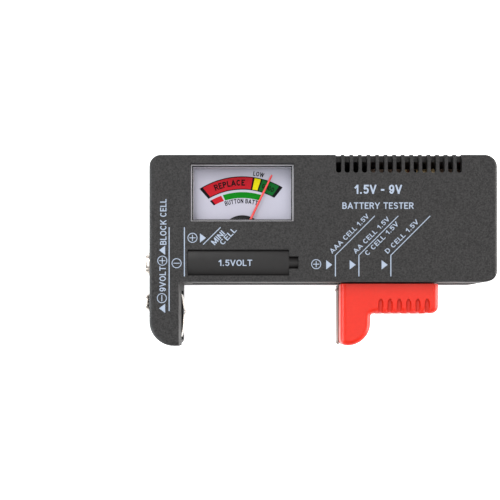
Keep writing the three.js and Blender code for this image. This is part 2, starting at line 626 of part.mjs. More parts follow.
const LUG_Y = [9, 16];
const PAD_Z = BOARD_Z + BOARD_THICK + 0.9;
const WIRE_RADIUS = 0.55;
const WIRES = {
  wire_leg_negative: [0x1b1b1d, [[-48.7, -12.8, 9.2], [-48.4, -9, 8.6], [-47.9, -2, 6], [-46.4, 4, 3.6],
    [-42, 7.6, 3], [-28, 8.6, 3], [-10, 8.6, 3], [-4.2, 8.8, 3.6], [-2.6, 9, 6.9]]],
  wire_snap_link: [0x1b1b1d, [[-48.6, -16.2, 15.2], [-48, -13.4, 15.4], [-47.8, -11.8, 13.6],
    [-47.8, -12.4, 11.6]]],
  wire_snap_positive: [0xb02018, [[-48.8, -3.5, 12.5], [-47.2, 0.5, 9], [-46, 8, 4.6], [-43, 12.4, 3],
    [-28, 13, 3], [-10, 13, 3], [-2, 13, 3.4], [7, 14.6, 6], [12.6, 15, 11.4], [16.4, 15, 13.8],
    [19.6, 15, PAD_Z]]],
  wire_rail_positive: [0xb02018, [[50, -6.4, 4.6], [50.4, -2, 5], [51, 5, 7.6], [50.8, 9.4, 12],
    [49.6, 11, 14.2], [46.6, 11.4, PAD_Z + 0.4]]],
  wire_meter_positive: [0xc8a32a, [[-2.6, 16, 9.2], [1, 16.6, 10.6], [8, 18, 12], [14.6, 19, 13.8],
    [19.6, 19, PAD_Z]]],
  wire_board_negative: [0x1b1b1d, [[-2.4, 8.9, 9.2], [1, 8.6, 10.6], [8, 9.4, 12], [14.6, 10.6, 13.8],
    [19.2, 10.8, PAD_Z]]],
};

// ---------------------------------------------------------------- assembly

const tester = new THREE.Group();

function add(name, manifold, color, roughness = 0.5, metalness = 0) {
  const material = new THREE.MeshStandardMaterial({ color, roughness, metalness });
  const mesh = new THREE.Mesh(toGeometry(manifold), material);
  mesh.name = name;
  tester.add(mesh);
}

const BLACK = 0x47494b;
const NICKEL = 0xc9c4ba;
const BRASS = 0xc2a25a;
const STEEL = 0x9a9da0;
const RED = 0xfa4836;

add('front_shell', frontShell(), BLACK, 0.7);
add('back_shell', backShell(), BLACK, 0.7);
SCREWS.forEach((place, i) => add(`case_screw_${i + 1}`, caseScrew(place), STEEL, 0.35, 1));

add('window_cover', windowCover(), 0xe8edf2, 0.05);
add('meter_base', meterBase(), 0x202122, 0.5);
add('dial_plate', dialPlate(), 0xdadae4, 0.6);
add('dial_shield', dialShield(), 0x101113, 0.4);
add('pointer', pointer(), 0xe0402f, 0.4);
add('balance_weight', balanceWeight(), BRASS, 0.4, 1);
add('moving_coil', movingCoil(), 0x9a4a26, 0.45, 0.6);
add('pivot_front', pivotPin(CORE_Z[1] + 1.1, 20, CORE_Z[1] + 1.1, true), STEEL, 0.3, 1);
add('pivot_rear', pivotPin(6.6, CORE_Z[0] - 1.1, CORE_Z[0] - 1.6, false), STEEL, 0.3, 1);
add('core_magnet', rod(PIVOT_X, PIVOT_Y, ...CORE_Z, CORE_RADIUS), 0x5c5f63, 0.4, 0.9);
add('yoke_ring', rod(PIVOT_X, PIVOT_Y, ...CORE_Z, YOKE_OUTER, YOKE_OUTER, 32)
  .subtract(rod(PIVOT_X, PIVOT_Y, 0, 25, YOKE_INNER, YOKE_INNER, 32)), STEEL, 0.45, 1);
add('core_spacer_1', coreSpacer(1), BRASS, 0.4, 1);
add('core_spacer_2', coreSpacer(-1), BRASS, 0.4, 1);
add('front_bridge', bridge(BAR_Z[1], [CORE_Z[1] + GAP, BAR_Z[1] + 0.1]), BRASS, 0.4, 1);
add('rear_bridge', bridge(BAR_Z[0], [BAR_Z[0] + 0.2, CORE_Z[0] - GAP]), BRASS, 0.4, 1);
add('jewel_screw_front', jewelScrew(20.15, 19, 20.7), BRASS, 0.35, 1);
add('jewel_screw_rear', jewelScrew(5.2, 6, 7), BRASS, 0.35, 1);
add('hairspring_front', hairspring(SPRING_Z[1]), 0xb98a4a, 0.35, 1);
add('hairspring_rear', hairspring(SPRING_Z[0]), 0xb98a4a, 0.35, 1);
add('meter_lug_negative', meterLug(LUG_Y[0]), NICKEL, 0.35, 1);
add('meter_lug_positive', meterLug(LUG_Y[1]), NICKEL, 0.35, 1);

add('slider_grip', sliderGrip(), RED, 0.45);
add('slider_contact', sliderContact(), NICKEL, 0.25, 1);
add('slider_wiper', sliderWiper(), BRASS, 0.35, 1);
add('wiper_rivet', wiperRivet(), STEEL, 0.35, 1);
add('contact_rail', contactRail(), BRASS, 0.35, 1);

add('leg_contact', legContact(), NICKEL, 0.25, 1);
add('snap_plate', snapPlate(), 0x8a5a34, 0.7);
add('female_snap', femaleSnap(), NICKEL, 0.3, 1);
add('male_snap', maleSnap(), NICKEL, 0.3, 1);
add('snap_rivet_upper', snapRivet(SNAP_Y[1]), NICKEL, 0.35, 1);
add('snap_rivet_lower', snapRivet(SNAP_Y[0]), NICKEL, 0.35, 1);

add('circuit_board', circuitBoard(), 0x8f5f36, 0.7);
BOARD_POSTS.forEach((place, i) => add(`board_screw_${i + 1}`, boardScrew(place), STEEL, 0.35, 1));
add('load_resistor', resistor(33, 25, 12, 2.2), 0xb7a27c, 0.6);
add('range_resistor_1', resistor(32, 18, 6.5, 1.15), 0xb7a27c, 0.6);
add('range_resistor_2', resistor(34, 13.6, 6.5, 1.15), 0xb7a27c, 0.6);
for (const [name, [color, points]] of Object.entries(WIRES)) {
  add(name, wire(points, WIRE_RADIUS, 3 * points.length), color, 0.5);
}

export default tester;
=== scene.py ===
import math

import bmesh
import bpy
from mathutils import Matrix, Vector


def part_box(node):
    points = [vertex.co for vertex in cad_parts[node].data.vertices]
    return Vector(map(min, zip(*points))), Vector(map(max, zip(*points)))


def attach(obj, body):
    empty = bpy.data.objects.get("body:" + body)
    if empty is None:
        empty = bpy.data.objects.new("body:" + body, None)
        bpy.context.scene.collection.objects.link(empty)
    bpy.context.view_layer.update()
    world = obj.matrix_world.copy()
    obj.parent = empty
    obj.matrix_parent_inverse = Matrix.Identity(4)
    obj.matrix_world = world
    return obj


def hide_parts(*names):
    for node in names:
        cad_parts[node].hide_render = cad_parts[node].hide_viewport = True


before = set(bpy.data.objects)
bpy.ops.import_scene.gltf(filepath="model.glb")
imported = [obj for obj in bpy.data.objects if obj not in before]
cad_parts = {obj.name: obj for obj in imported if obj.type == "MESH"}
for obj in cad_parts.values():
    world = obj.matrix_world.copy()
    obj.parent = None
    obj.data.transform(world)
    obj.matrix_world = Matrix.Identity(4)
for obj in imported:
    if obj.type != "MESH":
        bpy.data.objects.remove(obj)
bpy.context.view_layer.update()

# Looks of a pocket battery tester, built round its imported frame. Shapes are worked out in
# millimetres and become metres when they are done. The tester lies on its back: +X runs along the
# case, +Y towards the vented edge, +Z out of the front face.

MM = 0.001


def box_mm(node):
    """Lowest and highest corner of a CAD node, in millimetres."""
    low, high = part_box(node)
    return [c / MM for c in low], [c / MM for c in high]


# -------- sizes, measured from the frame

(LEFT, LEG_END, FRONT_SEAM), (RIGHT, TOP, FACE) = box_mm("front_shell")
SEAM = (FRONT_SEAM + box_mm("back_shell")[1][2]) / 2
SEAM_GAP = 0.12
WALL = 2.0
FRONT_WALL = 2.2
BODY_EDGE = TOP - 40.25
LEG_FACE = LEFT + 9.4
FRONT_FILLET = 1.3
BACK_FILLET = 1.4
CORNER_TOP_LEFT = 3.7
CORNER_RIGHT = 4.0
CORNER_LEG = 7.8

COVER_LOW, COVER_HIGH = box_mm("window_cover")
WINDOW = (COVER_LOW[0] + 1.5, COVER_HIGH[0] - 1.5, COVER_LOW[1] + 1.5, COVER_HIGH[1] - 0.4)
COVER_FRONT = COVER_HIGH[2]
COVER_BACK = COVER_LOW[2]
RIM = 0.85

YOKE_LOW, YOKE_HIGH = box_mm("yoke_ring")
PIVOT = Vector(((YOKE_LOW[0] + YOKE_HIGH[0]) / 2, (YOKE_LOW[1] + YOKE_HIGH[1]) / 2))
DIAL_LOW, DIAL_HIGH = box_mm("dial_plate")
DIAL = DIAL_HIGH[2]
SHIELD_TOP = box_mm("dial_shield")[1][2]
NEEDLE_Z = sum(corner[2] for corner in box_mm("pointer")) / 2
NEEDLE_LENGTH = 22.0
NEEDLE_REST = -25.7
ARC_CENTRE = PIVOT - Vector((0, 6.05))
SHIELD_RADIUS = 7.0

VENT_COUNT = 15
VENT_PITCH = 2.713
VENT_WIDTH = 1.713
VENT_FIRST = LEFT + 59.8
VENT_END = TOP - 5.89
VENT_NOTCH = 3.1

RELIEF = (LEFT + 12.17, LEFT + 44.21, TOP - 38.3, TOP - 30.04)
RELIEF_NUB = (LEFT + 47.1, TOP - 36.14, TOP - 32.19)
RELIEF_DEPTH = 0.9

JAW_LOW, JAW_HIGH = box_mm("slider_grip")
JAW_FACE, JAW_FLOOR, JAW_BACK = JAW_LOW
JAW_END, FOOT_TOP, JAW_FRONT = JAW_HIGH
JAW_TOP = BODY_EDGE - 0.5
GRIP_EDGE = JAW_FLOOR + 10.35
FINGER_END = JAW_FACE + 9.6
JAW_FILLET = 2.0
JAW_DRAFT = 0.05
NECK = (JAW_FACE + 1.15, JAW_END - 0.9, SEAM - 1.8, SEAM + 1.8)
COLLAR_END = JAW_END - 0.2
NECK_SUNK = 1.6
FOOT_THICK = 1.9
FOOT_HALF = 4.9
GROOVES = 6
GROOVE_PITCH = 2.96
GROOVE_FIRST = JAW_FACE + 12.72
GROOVE_TOP = GRIP_EDGE + 4.65
GROOVE_HALF = 0.98
GROOVE_DEPTH = 1.0

CONTACT_Z = [corner[2] for corner in box_mm("leg_contact")]
CONTACT_ROOM = 0.3
CONTACT_THICK = 0.3
CONTACT_SLOT = (LEG_END + 1.75, LEG_END + 18.05)
LEAF_SPAN = (LEG_END + 2.45, LEG_END + 17.35)
TONGUE_Z = 11.9

SNAP_X = box_mm("female_snap")[0][0]
SNAP_BACK = box_mm("female_snap")[1][0]
SNAP_MID = -9.85
SNAP_PITCH = 12.7
SNAP_HOLE = 4.5
SCREWS = [(LEFT + 5.4, TOP - 5.8), (RIGHT - 5.4, TOP - 5.8), (LEFT + 4.2, LEG_END + 5.2)]
BOSS_RADIUS = (3.0, 3.0, 2.4)
SCREW_SINK = 4.2
SCREW_BORE = 1.3
SOCKET_WALL = 0.7
SLOT_X = (JAW_FACE - 47.9, COLLAR_END + 15.7)
SLOT_THICK = 4.4

# -------- mesh helpers


def rounded(corners, steps=12):
    """Points round a closed outline, anticlockwise, from corners given as (x, y, radius)."""
    points = []
    for i, (x, y, radius) in enumerate(corners):
        corner = Vector((x, y))
        if not radius:
            points.append(corner)
            continue
        back = (Vector(corners[i - 1][:2]) - corner).normalized()
        ahead = (Vector(corners[(i + 1) % len(corners)][:2]) - corner).normalized()
        half = math.acos(back.dot(ahead)) / 2
        centre = corner + (back + ahead).normalized() * radius / math.sin(half)
        start = corner + back * radius / math.tan(half) - centre
        end = corner + ahead * radius / math.tan(half) - centre
        turn = math.atan2(start.x * end.y - start.y * end.x, start.dot(end))
        for k in range(steps + 1):
            points.append(centre + Matrix.Rotation(turn * k / steps, 2) @ start)
    return points


def pulled_in(corners, inset):
    """The corners of an outline moved inwards by inset, with their radii to match."""
    moved = []
    for i, (x, y, radius) in enumerate(corners):
        here = Vector((x, y))
        arriving = (here - Vector(corners[i - 1][:2])).normalized()
        leaving = (Vector(corners[(i + 1) % len(corners)][:2]) - here).normalized()
        inward = Vector((-arriving.y - leaving.y, arriving.x + leaving.x))
        place = here + inward * inset / (1 + arriving.dot(leaving))
        convex = arriving.x * leaving.y - arriving.y * leaving.x > 0
        grown = radius - inset if convex else radius + inset
        moved.append((place.x, place.y, max(grown, 0.05) if radius else 0))
    return moved


def loft(rings, closed=False):
    """A solid through rings with equal numbers of points, capped unless its last ring meets its first."""
    bm = bmesh.new()
    loops = [[bm.verts.new(point) for point in ring] for ring in rings]
    following = loops[1:] + ([loops[0]] if closed else [])
    for low, high in zip(loops, following):
        for i in range(len(low)):
            j = (i + 1) % len(low)
            bm.faces.new((low[i], low[j], high[j], high[i]))
    if not closed:
        bm.faces.new(loops[0])
        bm.faces.new(loops[-1])
    bmesh.ops.recalc_face_normals(bm, faces=bm.faces)
    return bm


def slab(corners, z0, z1, low=0.0, high=0.0, arc=12, steps=6):
    """A plate with the given outline, its back edge rounded by low and its front edge by high."""
    quarter = [math.pi / 2 * k / steps for k in range(steps + 1)]
    profile = [(0, z0)]
    if low:
        profile = [(low * (1 - math.sin(a)), z0 + low * (1 - math.cos(a))) for a in quarter]
    if high:
        profile += [(high * (1 - math.cos(a)), z1 - high + high * math.sin(a)) for a in quarter]
    else:
        profile.append((0, z1))
    rings = []
    for inset, z in profile:
        outline = rounded(pulled_in(corners, inset), arc)
        rings.append([(p.x, p.y, z) for p in outline])
    return loft(rings)


def block(x0, x1, y0, y1, z0, z1):
    return slab([(x0, y0, 0), (x1, y0, 0), (x1, y1, 0), (x0, y1, 0)], z0, z1)


def lathe(profile, sides=48, closed=False):
    """A solid of revolution about Z from (radius, height) points, which start and end on the axis
    unless the profile closes on itself."""
    bm = bmesh.new()
    loops = []
    for radius, height in profile:
        if radius < 1e-6:
            loops.append([bm.verts.new((0, 0, height))])
            continue
        turns = [2 * math.pi * k / sides for k in range(sides)]
        loops.append([bm.verts.new((radius * math.cos(t), radius * math.sin(t), height)) for t in turns])
    following = loops[1:] + ([loops[0]] if closed else [])
    for a, b in zip(loops, following):
        for k in range(sides):
            m = (k + 1) % sides
            around = [a[k % len(a)], a[m % len(a)], b[m % len(b)], b[k % len(b)]]
            bm.faces.new(list(dict.fromkeys(around)))
    bmesh.ops.recalc_face_normals(bm, faces=bm.faces)
    return bm


ALONG_X = Matrix.Rotation(math.pi / 2, 4, "Y")


def at(bm, x, y, z, turn=None):
    """bm turned and moved to a place."""
    bm.transform(Matrix.Translation((x, y, z)) @ (turn or Matrix.Identity(4)))
    return bm


def rod(x, y, z0, z1, radius, sides=48):
    return at(lathe([(0, z0), (radius, z0), (radius, z1), (0, z1)], sides), x, y, 0)


def rod_x(x0, x1, y, z, radius, sides=48):
    return at(lathe([(0, x0), (radius, x0), (radius, x1), (0, x1)], sides), 0, y, z, ALONG_X)


def strip(line, thickness, z0, z1):
    """Sheet metal bent along (x, y) points and as wide as z0 to z1."""
    rings = []
    for i, here in enumerate(line):
        before = Vector(line[max(i - 1, 0)])
        after = Vector(line[min(i + 1, len(line) - 1)])
        along = (after - before).normalized()
        side = Vector((-along.y, along.x)) * thickness / 2
        a = Vector(here) - side
        b = Vector(here) + side
        rings.append([(a.x, a.y, z0), (b.x, b.y, z0), (b.x, b.y, z1), (a.x, a.y, z1)])
    return loft(rings)


def smooth_line(points):
    """A Catmull-Rom curve through the points."""
    steps = 5
    ends = [points[0], *points, points[-1]]
    line = []
    for i in range(1, len(ends) - 2):
        a, b, c, d = (Vector(p) for p in ends[i - 1:i + 3])
        for k in range(steps):
            t = k / steps
            line.append((2 * b + (c - a) * t + (2 * a - 5 * b + 4 * c - d) * t ** 2
                         + (3 * b - a - 3 * c + d) * t ** 3) / 2)
    line.append(Vector(points[-1]))
    return line


def merged(parts):
    """Several solids in one bmesh, not welded to each other."""
    whole = bmesh.new()
    for part in parts:
        mesh = bpy.data.meshes.new("part")
        part.to_mesh(mesh)
        part.free()
        whole.from_mesh(mesh)
        bpy.data.meshes.remove(mesh)
    return whole


def placed(name, data):
    """A new object of the scene for a mesh, a lamp or a camera."""
    obj = bpy.data.objects.new(name, data)
    bpy.context.scene.collection.objects.link(obj)
    return obj


def new_object(name, bm):
    mesh = bpy.data.meshes.new(name)
    bm.to_mesh(mesh)
    bm.free()
    return placed(name, mesh)


def apply_modifiers(obj):
    graph = bpy.context.evaluated_depsgraph_get()
    mesh = bpy.data.meshes.new_from_object(obj.evaluated_get(graph))
    obj.modifiers.clear()
    spare = obj.data
    obj.data = mesh
    bpy.data.meshes.remove(spare)


def combine(obj, operation, bm):
    """Cuts bm out of obj, joins it on, or keeps only what both share."""
    tool = new_object("tool", bm)
    modifier = obj.modifiers.new("combine", "BOOLEAN")
    modifier.operation = operation
    modifier.solver = "MANIFOLD"
    modifier.object = tool
    apply_modifiers(obj)
    bpy.data.objects.remove(tool)


def cut(obj, *parts):
    for part in parts:
        combine(obj, "DIFFERENCE", part)


def join(obj, *parts):
    for part in parts:
        combine(obj, "UNION", part)


def soften(obj, bevel, sharp):
    """Rounds the edges that turn by more than sharp degrees, bevel millimetres wide."""
    edges = obj.modifiers.new("edges", "BEVEL")
    edges.width = bevel * MM
    edges.segments = 2
    edges.limit_method = "ANGLE"
    edges.angle_limit = math.radians(sharp)
    return edges


def finish_piece(obj, body, materials, stands_for=(), bevel=0.0, sharp=35):
    """Turns a piece to metres, softens its edges, gives it its materials and rides it on its body."""
    mesh = obj.data
    mesh.transform(Matrix.Scale(MM, 4))
    mesh.materials.clear()
    for material in materials:
        mesh.materials.append(material)
    mesh.shade_smooth()
    if bevel:
        soften(obj, bevel, sharp).miter_outer = "MITER_ARC"
        normals = obj.modifiers.new("normals", "WEIGHTED_NORMAL")
        normals.keep_sharp = True
    else:
        mesh.set_sharp_from_angle(angle=math.radians(sharp))
    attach(obj, body)
    if stands_for:
        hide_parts(*stands_for)


# -------- materials


def srgb(red, green, blue):
    """A colour of the screen, 0 to 255, as linear light."""
    def linear(value):
        share = value / 255
        return share / 12.92 if share <= 0.04045 else ((share + 0.055) / 1.055) ** 2.4
    return (linear(red), linear(green), linear(blue), 1)


# Noise seldom leaves this part of 0 to 1, so patterns are read across it.
NOISE_SPAN = (0.3, 0.7)


class Finish:
    """A node material built round one Principled shader, with its patterns in object space."""

    def __init__(self, name, colour, roughness, **sockets):
        self.material = bpy.data.materials.new(name)
        self.material.use_nodes = True
        tree = self.material.node_tree
        self.nodes, self.links = tree.nodes, tree.links
        self.shader = self.nodes["Principled BSDF"]
        self.colour = colour
        self.roughness = roughness
        self.feed(self.shader, {"Base Color": colour, "Roughness": roughness})
        self.feed(self.shader, {name.replace("_", " "): value for name, value in sockets.items()})
        self.place = self.nodes.new("ShaderNodeTexCoord").outputs["Object"]

    def feed(self, node, inputs):
        """Sets each of the inputs to its value, or links it to the socket given for it."""
        for name, value in inputs.items():
            if isinstance(value, bpy.types.NodeSocket):
                self.links.new(value, node.inputs[name])
            else:
                node.inputs[name].default_value = value
        return node

    def add(self, kind, inputs, **settings):
        """A new shader node, with its settings made and its inputs fed."""
        node = self.nodes.new("ShaderNode" + kind)
        for name, value in settings.items():
            setattr(node, name, value)
        return self.feed(node, inputs)

    def noise(self, size_mm, detail=3.0, stretch=(1, 1, 1)):
        """Noise whose patches are about size_mm across, longer where stretch is over 1."""
        scale = [1 / (size_mm * MM * s) for s in stretch]
        mapping = self.add("Mapping", {"Vector": self.place, "Scale": scale})
        inputs = {"Vector": mapping.outputs["Vector"], "Scale": 1.0, "Detail": detail}
        return self.add("TexNoise", inputs).outputs["Fac"]

    def tint(self, pattern, low, high):
        """Base colour that goes with pattern from low to high times the finish's own."""
        ramp = self.add("ValToRGB", {"Fac": pattern})
        for element, share, place in zip(ramp.color_ramp.elements, (low, high), NOISE_SPAN):
            element.color = (*[min(1.0, c * share) for c in self.colour[:3]], 1)
            element.position = place
        self.feed(self.shader, {"Base Color": ramp.outputs["Color"]})
        return self

    def vary(self, pattern, change):
        """Roughness that goes with pattern by change either way."""
        node = self.add("MapRange", {
            "Value": pattern, "From Min": NOISE_SPAN[0], "From Max": NOISE_SPAN[1],
            "To Min": self.roughness - change, "To Max": self.roughness + change})
        self.feed(self.shader, {"Roughness": node.outputs["Result"]})
        return self

    def relief(self, pattern, height_mm):
        """Bump of height_mm over pattern."""
        bump = self.add("Bump", {"Height": pattern, "Distance": height_mm * MM})
        self.feed(self.shader, {"Normal": bump.outputs["Normal"]})
        return self


def moulded(name, colour, roughness, grain_mm, depth_mm, mottle=0.06, shine=0.5, **sockets):
    """Moulded plastic: grain from the mould, faint mottling and uneven gloss."""
    finish = Finish(name, colour, roughness, Specular_IOR_Level=shine, **sockets)
    grain = finish.noise(grain_mm, 2.0)
    finish.tint(grain, 1 - mottle, 1 + mottle)
    finish.vary(finish.noise(7.0), 0.05)
    return finish.relief(grain, depth_mm).material


def metal(name, colour, roughness, brushed=(6, 1, 1)):
    """Plated or turned metal: drawn lines along one way and uneven shine."""
    finish = Finish(name, colour, roughness, Metallic=1.0)
    lines = finish.noise(0.25, 3.0, brushed)
    finish.tint(finish.noise(4.0), 0.9, 1.06)
    finish.vary(lines, 0.07)
    return finish.relief(lines, 0.004).material


def print_ink(name, colour):
    """Pad-printed ink: nearly flat, slightly uneven in tone."""
    finish = Finish(name, colour, 0.65, Specular_IOR_Level=0.1)
    specks = finish.noise(0.35, 2.0)
    return finish.tint(specks, 0.94, 1.04).relief(specks, 0.004).material


CASE_PLASTIC = moulded("case_grained", srgb(38, 37, 37), 0.55, 0.45, 0.12, 0.6, shine=0.25)
CASE_GLOSSY = moulded("case_polished", srgb(14, 12, 12), 0.4, 1.4, 0.004, 0.1, shine=0.3)
BLACK_PLASTIC = moulded("black_plastic", srgb(16, 16, 18), 0.5, 0.6, 0.01, shine=0.2)
JAW_PLASTIC = moulded("jaw_plastic", srgb(198, 32, 10), 0.36, 0.8, 0.008, 0.03,
                      Subsurface_Weight=0.3, Subsurface_Scale=0.0015, shine=0.28)
DIAL_CARD = moulded("dial_card", srgb(186, 185, 197), 0.6, 0.5, 0.003, 0.015, shine=0.25)
CASE_INK = print_ink("case_ink", srgb(152, 163, 180))
DIAL_COLOURS = {"black": (9, 8, 11), "red": (184, 28, 40), "yellow": (220, 208, 12),
                "dark_green": (8, 98, 36), "green": (6, 124, 20)}
DIAL_INKS = {name: print_ink("dial_ink_" + name, srgb(*colour)) for name, colour in DIAL_COLOURS.items()}
NICKEL = metal("nickel_plate", (0.66, 0.61, 0.56, 1), 0.24)
# Nickel darkened well below its own colour: painted shade for the jaw's contact strip, which lies in shadow
# on the clamping face.
SHADED_NICKEL = metal("nickel_painted_shade", (0.17, 0.13, 0.11, 1), 0.5)
STEEL = metal("zinc_steel", (0.55, 0.56, 0.57, 1), 0.35, (1, 1, 1))
BRASS = metal("brass", (0.72, 0.52, 0.22, 1), 0.32)
MAGNET = moulded("sintered_magnet", srgb(70, 72, 76), 0.5, 0.2, 0.02, 0.1, Metallic=0.7)


def smooth_coat(name, colour, size_mm, low, high, ripple_mm, depth_mm):
    """Paint or insulation: slightly uneven tone and a faint ripple."""
    finish = Finish(name, colour, 0.35)
    finish.tint(finish.noise(size_mm), low, high)
    return finish.relief(finish.noise(ripple_mm), depth_mm).material


def copper_winding():
    """Enamelled turns side by side."""
    finish = Finish("copper_winding", srgb(150, 74, 36), 0.35, Metallic=0.8)
    inputs = {"Vector": finish.place, "Scale": 1 / (1.2 * MM)}
    wave = finish.add("TexWave", inputs, bands_direction="Y")
    finish.tint(finish.noise(1.5), 0.85, 1.1)
    return finish.relief(wave.outputs["Fac"], 0.04).material


def paper_board():
    """Resin-bonded paper, brown, with fibres along its length."""
    finish = Finish("paper_board", srgb(132, 104, 84), 0.55)
    fibres = finish.noise(0.5, 4.0, (8, 1, 1))
    return finish.tint(fibres, 0.85, 1.1).vary(finish.noise(5.0), 0.08).relief(fibres, 0.01).material


def resistor_body(name, middle_x, span, bands):
    """Lacquered body with coloured bands round it at even steps along X."""
    first, step, wide = 0.16, 0.17, 0.08
    finish = Finish(name, srgb(196, 172, 128), 0.42)
    split = finish.add("SeparateXYZ", {0: finish.place})
    along = finish.add("MapRange", {
        "Value": split.outputs["X"],
        "From Min": (middle_x - span / 2) * MM, "From Max": (middle_x + span / 2) * MM})
    ramp = finish.add("ValToRGB", {"Fac": along.outputs["Result"]})
    ramp.color_ramp.interpolation = "CONSTANT"
    ramp.color_ramp.elements[0].color = finish.colour
    ramp.color_ramp.elements[1].position = 0.97
    ramp.color_ramp.elements[1].color = finish.colour
    for i, band in enumerate(bands):
        start = first + step * i
        ramp.color_ramp.elements.new(start).color = band
        ramp.color_ramp.elements.new(start + wide).color = finish.colour
    finish.feed(finish.shader, {"Base Color": ramp.outputs["Color"]})
    return finish.relief(finish.noise(0.8), 0.01).material


def clear_cover():
    """Clear acrylic: what is behind shows straight through, and it reflects more at flat angles."""
    finish = Finish("clear_acrylic", (1, 1, 1, 1), 0.03)
    finish.nodes.remove(finish.shader)
    through = finish.add("BsdfTransparent", {"Color": (0.995, 0.995, 1, 1)})
    bump = finish.add("Bump", {"Height": finish.noise(3.0), "Distance": 0.002 * MM})
    gloss = finish.add("BsdfGlossy", {"Roughness": 0.03, "Normal": bump.outputs["Normal"]})
    facing = finish.add("LayerWeight", {}).outputs["Facing"]
    steep = finish.add("Math", {0: facing, 1: 5.0}, operation="POWER").outputs["Value"]
    share = finish.add("Math", {0: steep, 1: 0.9}, operation="MULTIPLY").outputs["Value"]
    mix = finish.add("MixShader", {
        "Fac": share, 1: through.outputs["BSDF"], 2: gloss.outputs["BSDF"]})
    finish.feed(finish.nodes["Material Output"], {"Surface": mix.outputs["Shader"]})
    return finish.material


CLEAR = clear_cover()
NEEDLE_PAINT = smooth_coat("needle_paint", srgb(226, 62, 58), 1.2, 0.95, 1.04, 0.4, 0.004)
# Dark grey for the faces of the cover rim's groove: painted shade, standing in for the groove's shadow and
# its reflection of the dark case.
COVER_GROOVE_SHADE = moulded("cover_groove_painted_shade", srgb(44, 43, 46), 0.6, 0.4, 0.01, 0.2, shine=0.2)
CLEAR_EDGE = moulded("acrylic_edge", srgb(176, 174, 178), 0.3, 1.0, 0.01, 0.06)

# -------- case


def case_corners(inner, outer=CORNER_LEG):
    """The flag-shaped outline of body and leg; inner and outer are the radii at the leg's end."""
    return [
        (LEFT, LEG_END, outer), (LEG_FACE, LEG_END, inner), (LEG_FACE, BODY_EDGE, 0),
        (RIGHT, BODY_EDGE, CORNER_RIGHT), (RIGHT, TOP, CORNER_RIGHT), (LEFT, TOP, CORNER_TOP_LEFT),
    ]


def cavity_corners():
    """The hollow's outline, one wall inside the case's."""
    return pulled_in(case_corners(0, CORNER_LEG - 1.2), WALL)


def shared_openings():
    """What both halves leave open: the jaw's slot, the leg contact's slot and two snap holes."""
    holes = [rod_x(LEFT - 1, LEFT + WALL + 0.1, SNAP_MID + side * SNAP_PITCH / 2, SEAM, SNAP_HOLE)
             for side in (-1, 1)]
    low, high = CONTACT_Z[0] - CONTACT_ROOM, CONTACT_Z[1] + CONTACT_ROOM
    return [
        block(*SLOT_X, BODY_EDGE - 1, BODY_EDGE + WALL + 0.1, SEAM - SLOT_THICK / 2, SEAM + SLOT_THICK / 2),
        block(LEG_FACE - WALL - 0.1, LEG_FACE + 1, *CONTACT_SLOT, low, high),
        merged(holes),
    ]


def vents():
    slots = []
    radius = VENT_WIDTH / 2
    for i in range(VENT_COUNT):
        x = VENT_FIRST + i * VENT_PITCH
        outline = [(x - radius, VENT_END, radius * 0.97), (x + radius, VENT_END, radius * 0.97),
                   (x + radius, TOP + 1, 0), (x - radius, TOP + 1, 0)]
        slots.append(slab(outline, FACE - VENT_NOTCH, FACE + 1, arc=8))
    return merged(slots)


def relief_pocket():
    """The sunk panel round the moulded cell and its nub."""
    x0, x1, y0, y1 = RELIEF
    x2, y2, y3 = RELIEF_NUB
    outline = [(x0, y0), (x1, y0), (x1, y2), (x2, y2), (x2, y3), (x1, y3), (x1, y1), (x0, y1)]
    return slab([(x, y, 0.12) for x, y in outline], FACE - RELIEF_DEPTH, FACE + 1, arc=3)


def front_shell():
    """Front half: window, vents, moulded pocket and screw bosses, with the cell's bay cut away."""
    square = [(LEFT, LEG_END, CORNER_LEG), (RIGHT, LEG_END, CORNER_RIGHT),
              (RIGHT, TOP, CORNER_RIGHT), (LEFT, TOP, CORNER_TOP_LEFT)]
    bottom = SEAM + SEAM_GAP / 2
    shell = new_object("front_shell_skin", slab(square, bottom, FACE, high=FRONT_FILLET, arc=16, steps=8))
    beyond = 6.0
    bay = [(LEG_FACE, LEG_END - beyond, 0), (RIGHT + beyond, LEG_END - beyond, 0),
           (RIGHT + beyond, BODY_EDGE + beyond, 0), (RIGHT, BODY_EDGE + beyond, 0),
           (RIGHT, BODY_EDGE, CORNER_RIGHT), (LEG_FACE, BODY_EDGE, 0)]
    cut(shell, slab(bay, bottom - 1, FACE + 1, arc=16))
    cut(shell, slab(cavity_corners(), bottom - 1, FACE - FRONT_WALL))
    for (x, y), radius in zip(SCREWS, BOSS_RADIUS):
        join(shell, rod(x, y, bottom, FACE - FRONT_WALL + 0.5, radius, 32))
        cut(shell, rod(x, y, bottom - 1, FACE - FRONT_WALL - 1, SCREW_BORE, 24))
    x0, x1, y0, y1 = WINDOW
    cut(shell, slab([(x0, y0, 0.25), (x1, y0, 0.25), (x1, y1, 0.25), (x0, y1, 0.25)],
                    FACE - FRONT_WALL - 1, FACE + 1, arc=3))
    cut(shell, vents(), relief_pocket(), *shared_openings())
    finish_piece(shell, "case", [CASE_PLASTIC], ["front_shell"], 0.14)


def back_shell():
    """Back half, with screw bosses that are open to the back."""
    top = SEAM - SEAM_GAP / 2
    outline = case_corners(2.2)
    shell = new_object("back_shell_skin", slab(outline, 0, top, low=BACK_FILLET, arc=16, steps=8))
    cut(shell, slab(cavity_corners(), WALL, top + 1))
    for (x, y), radius in zip(SCREWS, BOSS_RADIUS):
        join(shell, rod(x, y, WALL - 0.5, top, radius, 32))
        cut(shell, rod(x, y, -1, SCREW_SINK, radius - SOCKET_WALL, 32))
        cut(shell, rod(x, y, 0, top + 1, SCREW_BORE, 24))
    cut(shell, *shared_openings())
    finish_piece(shell, "case", [CASE_PLASTIC], ["back_shell"], 0.14)


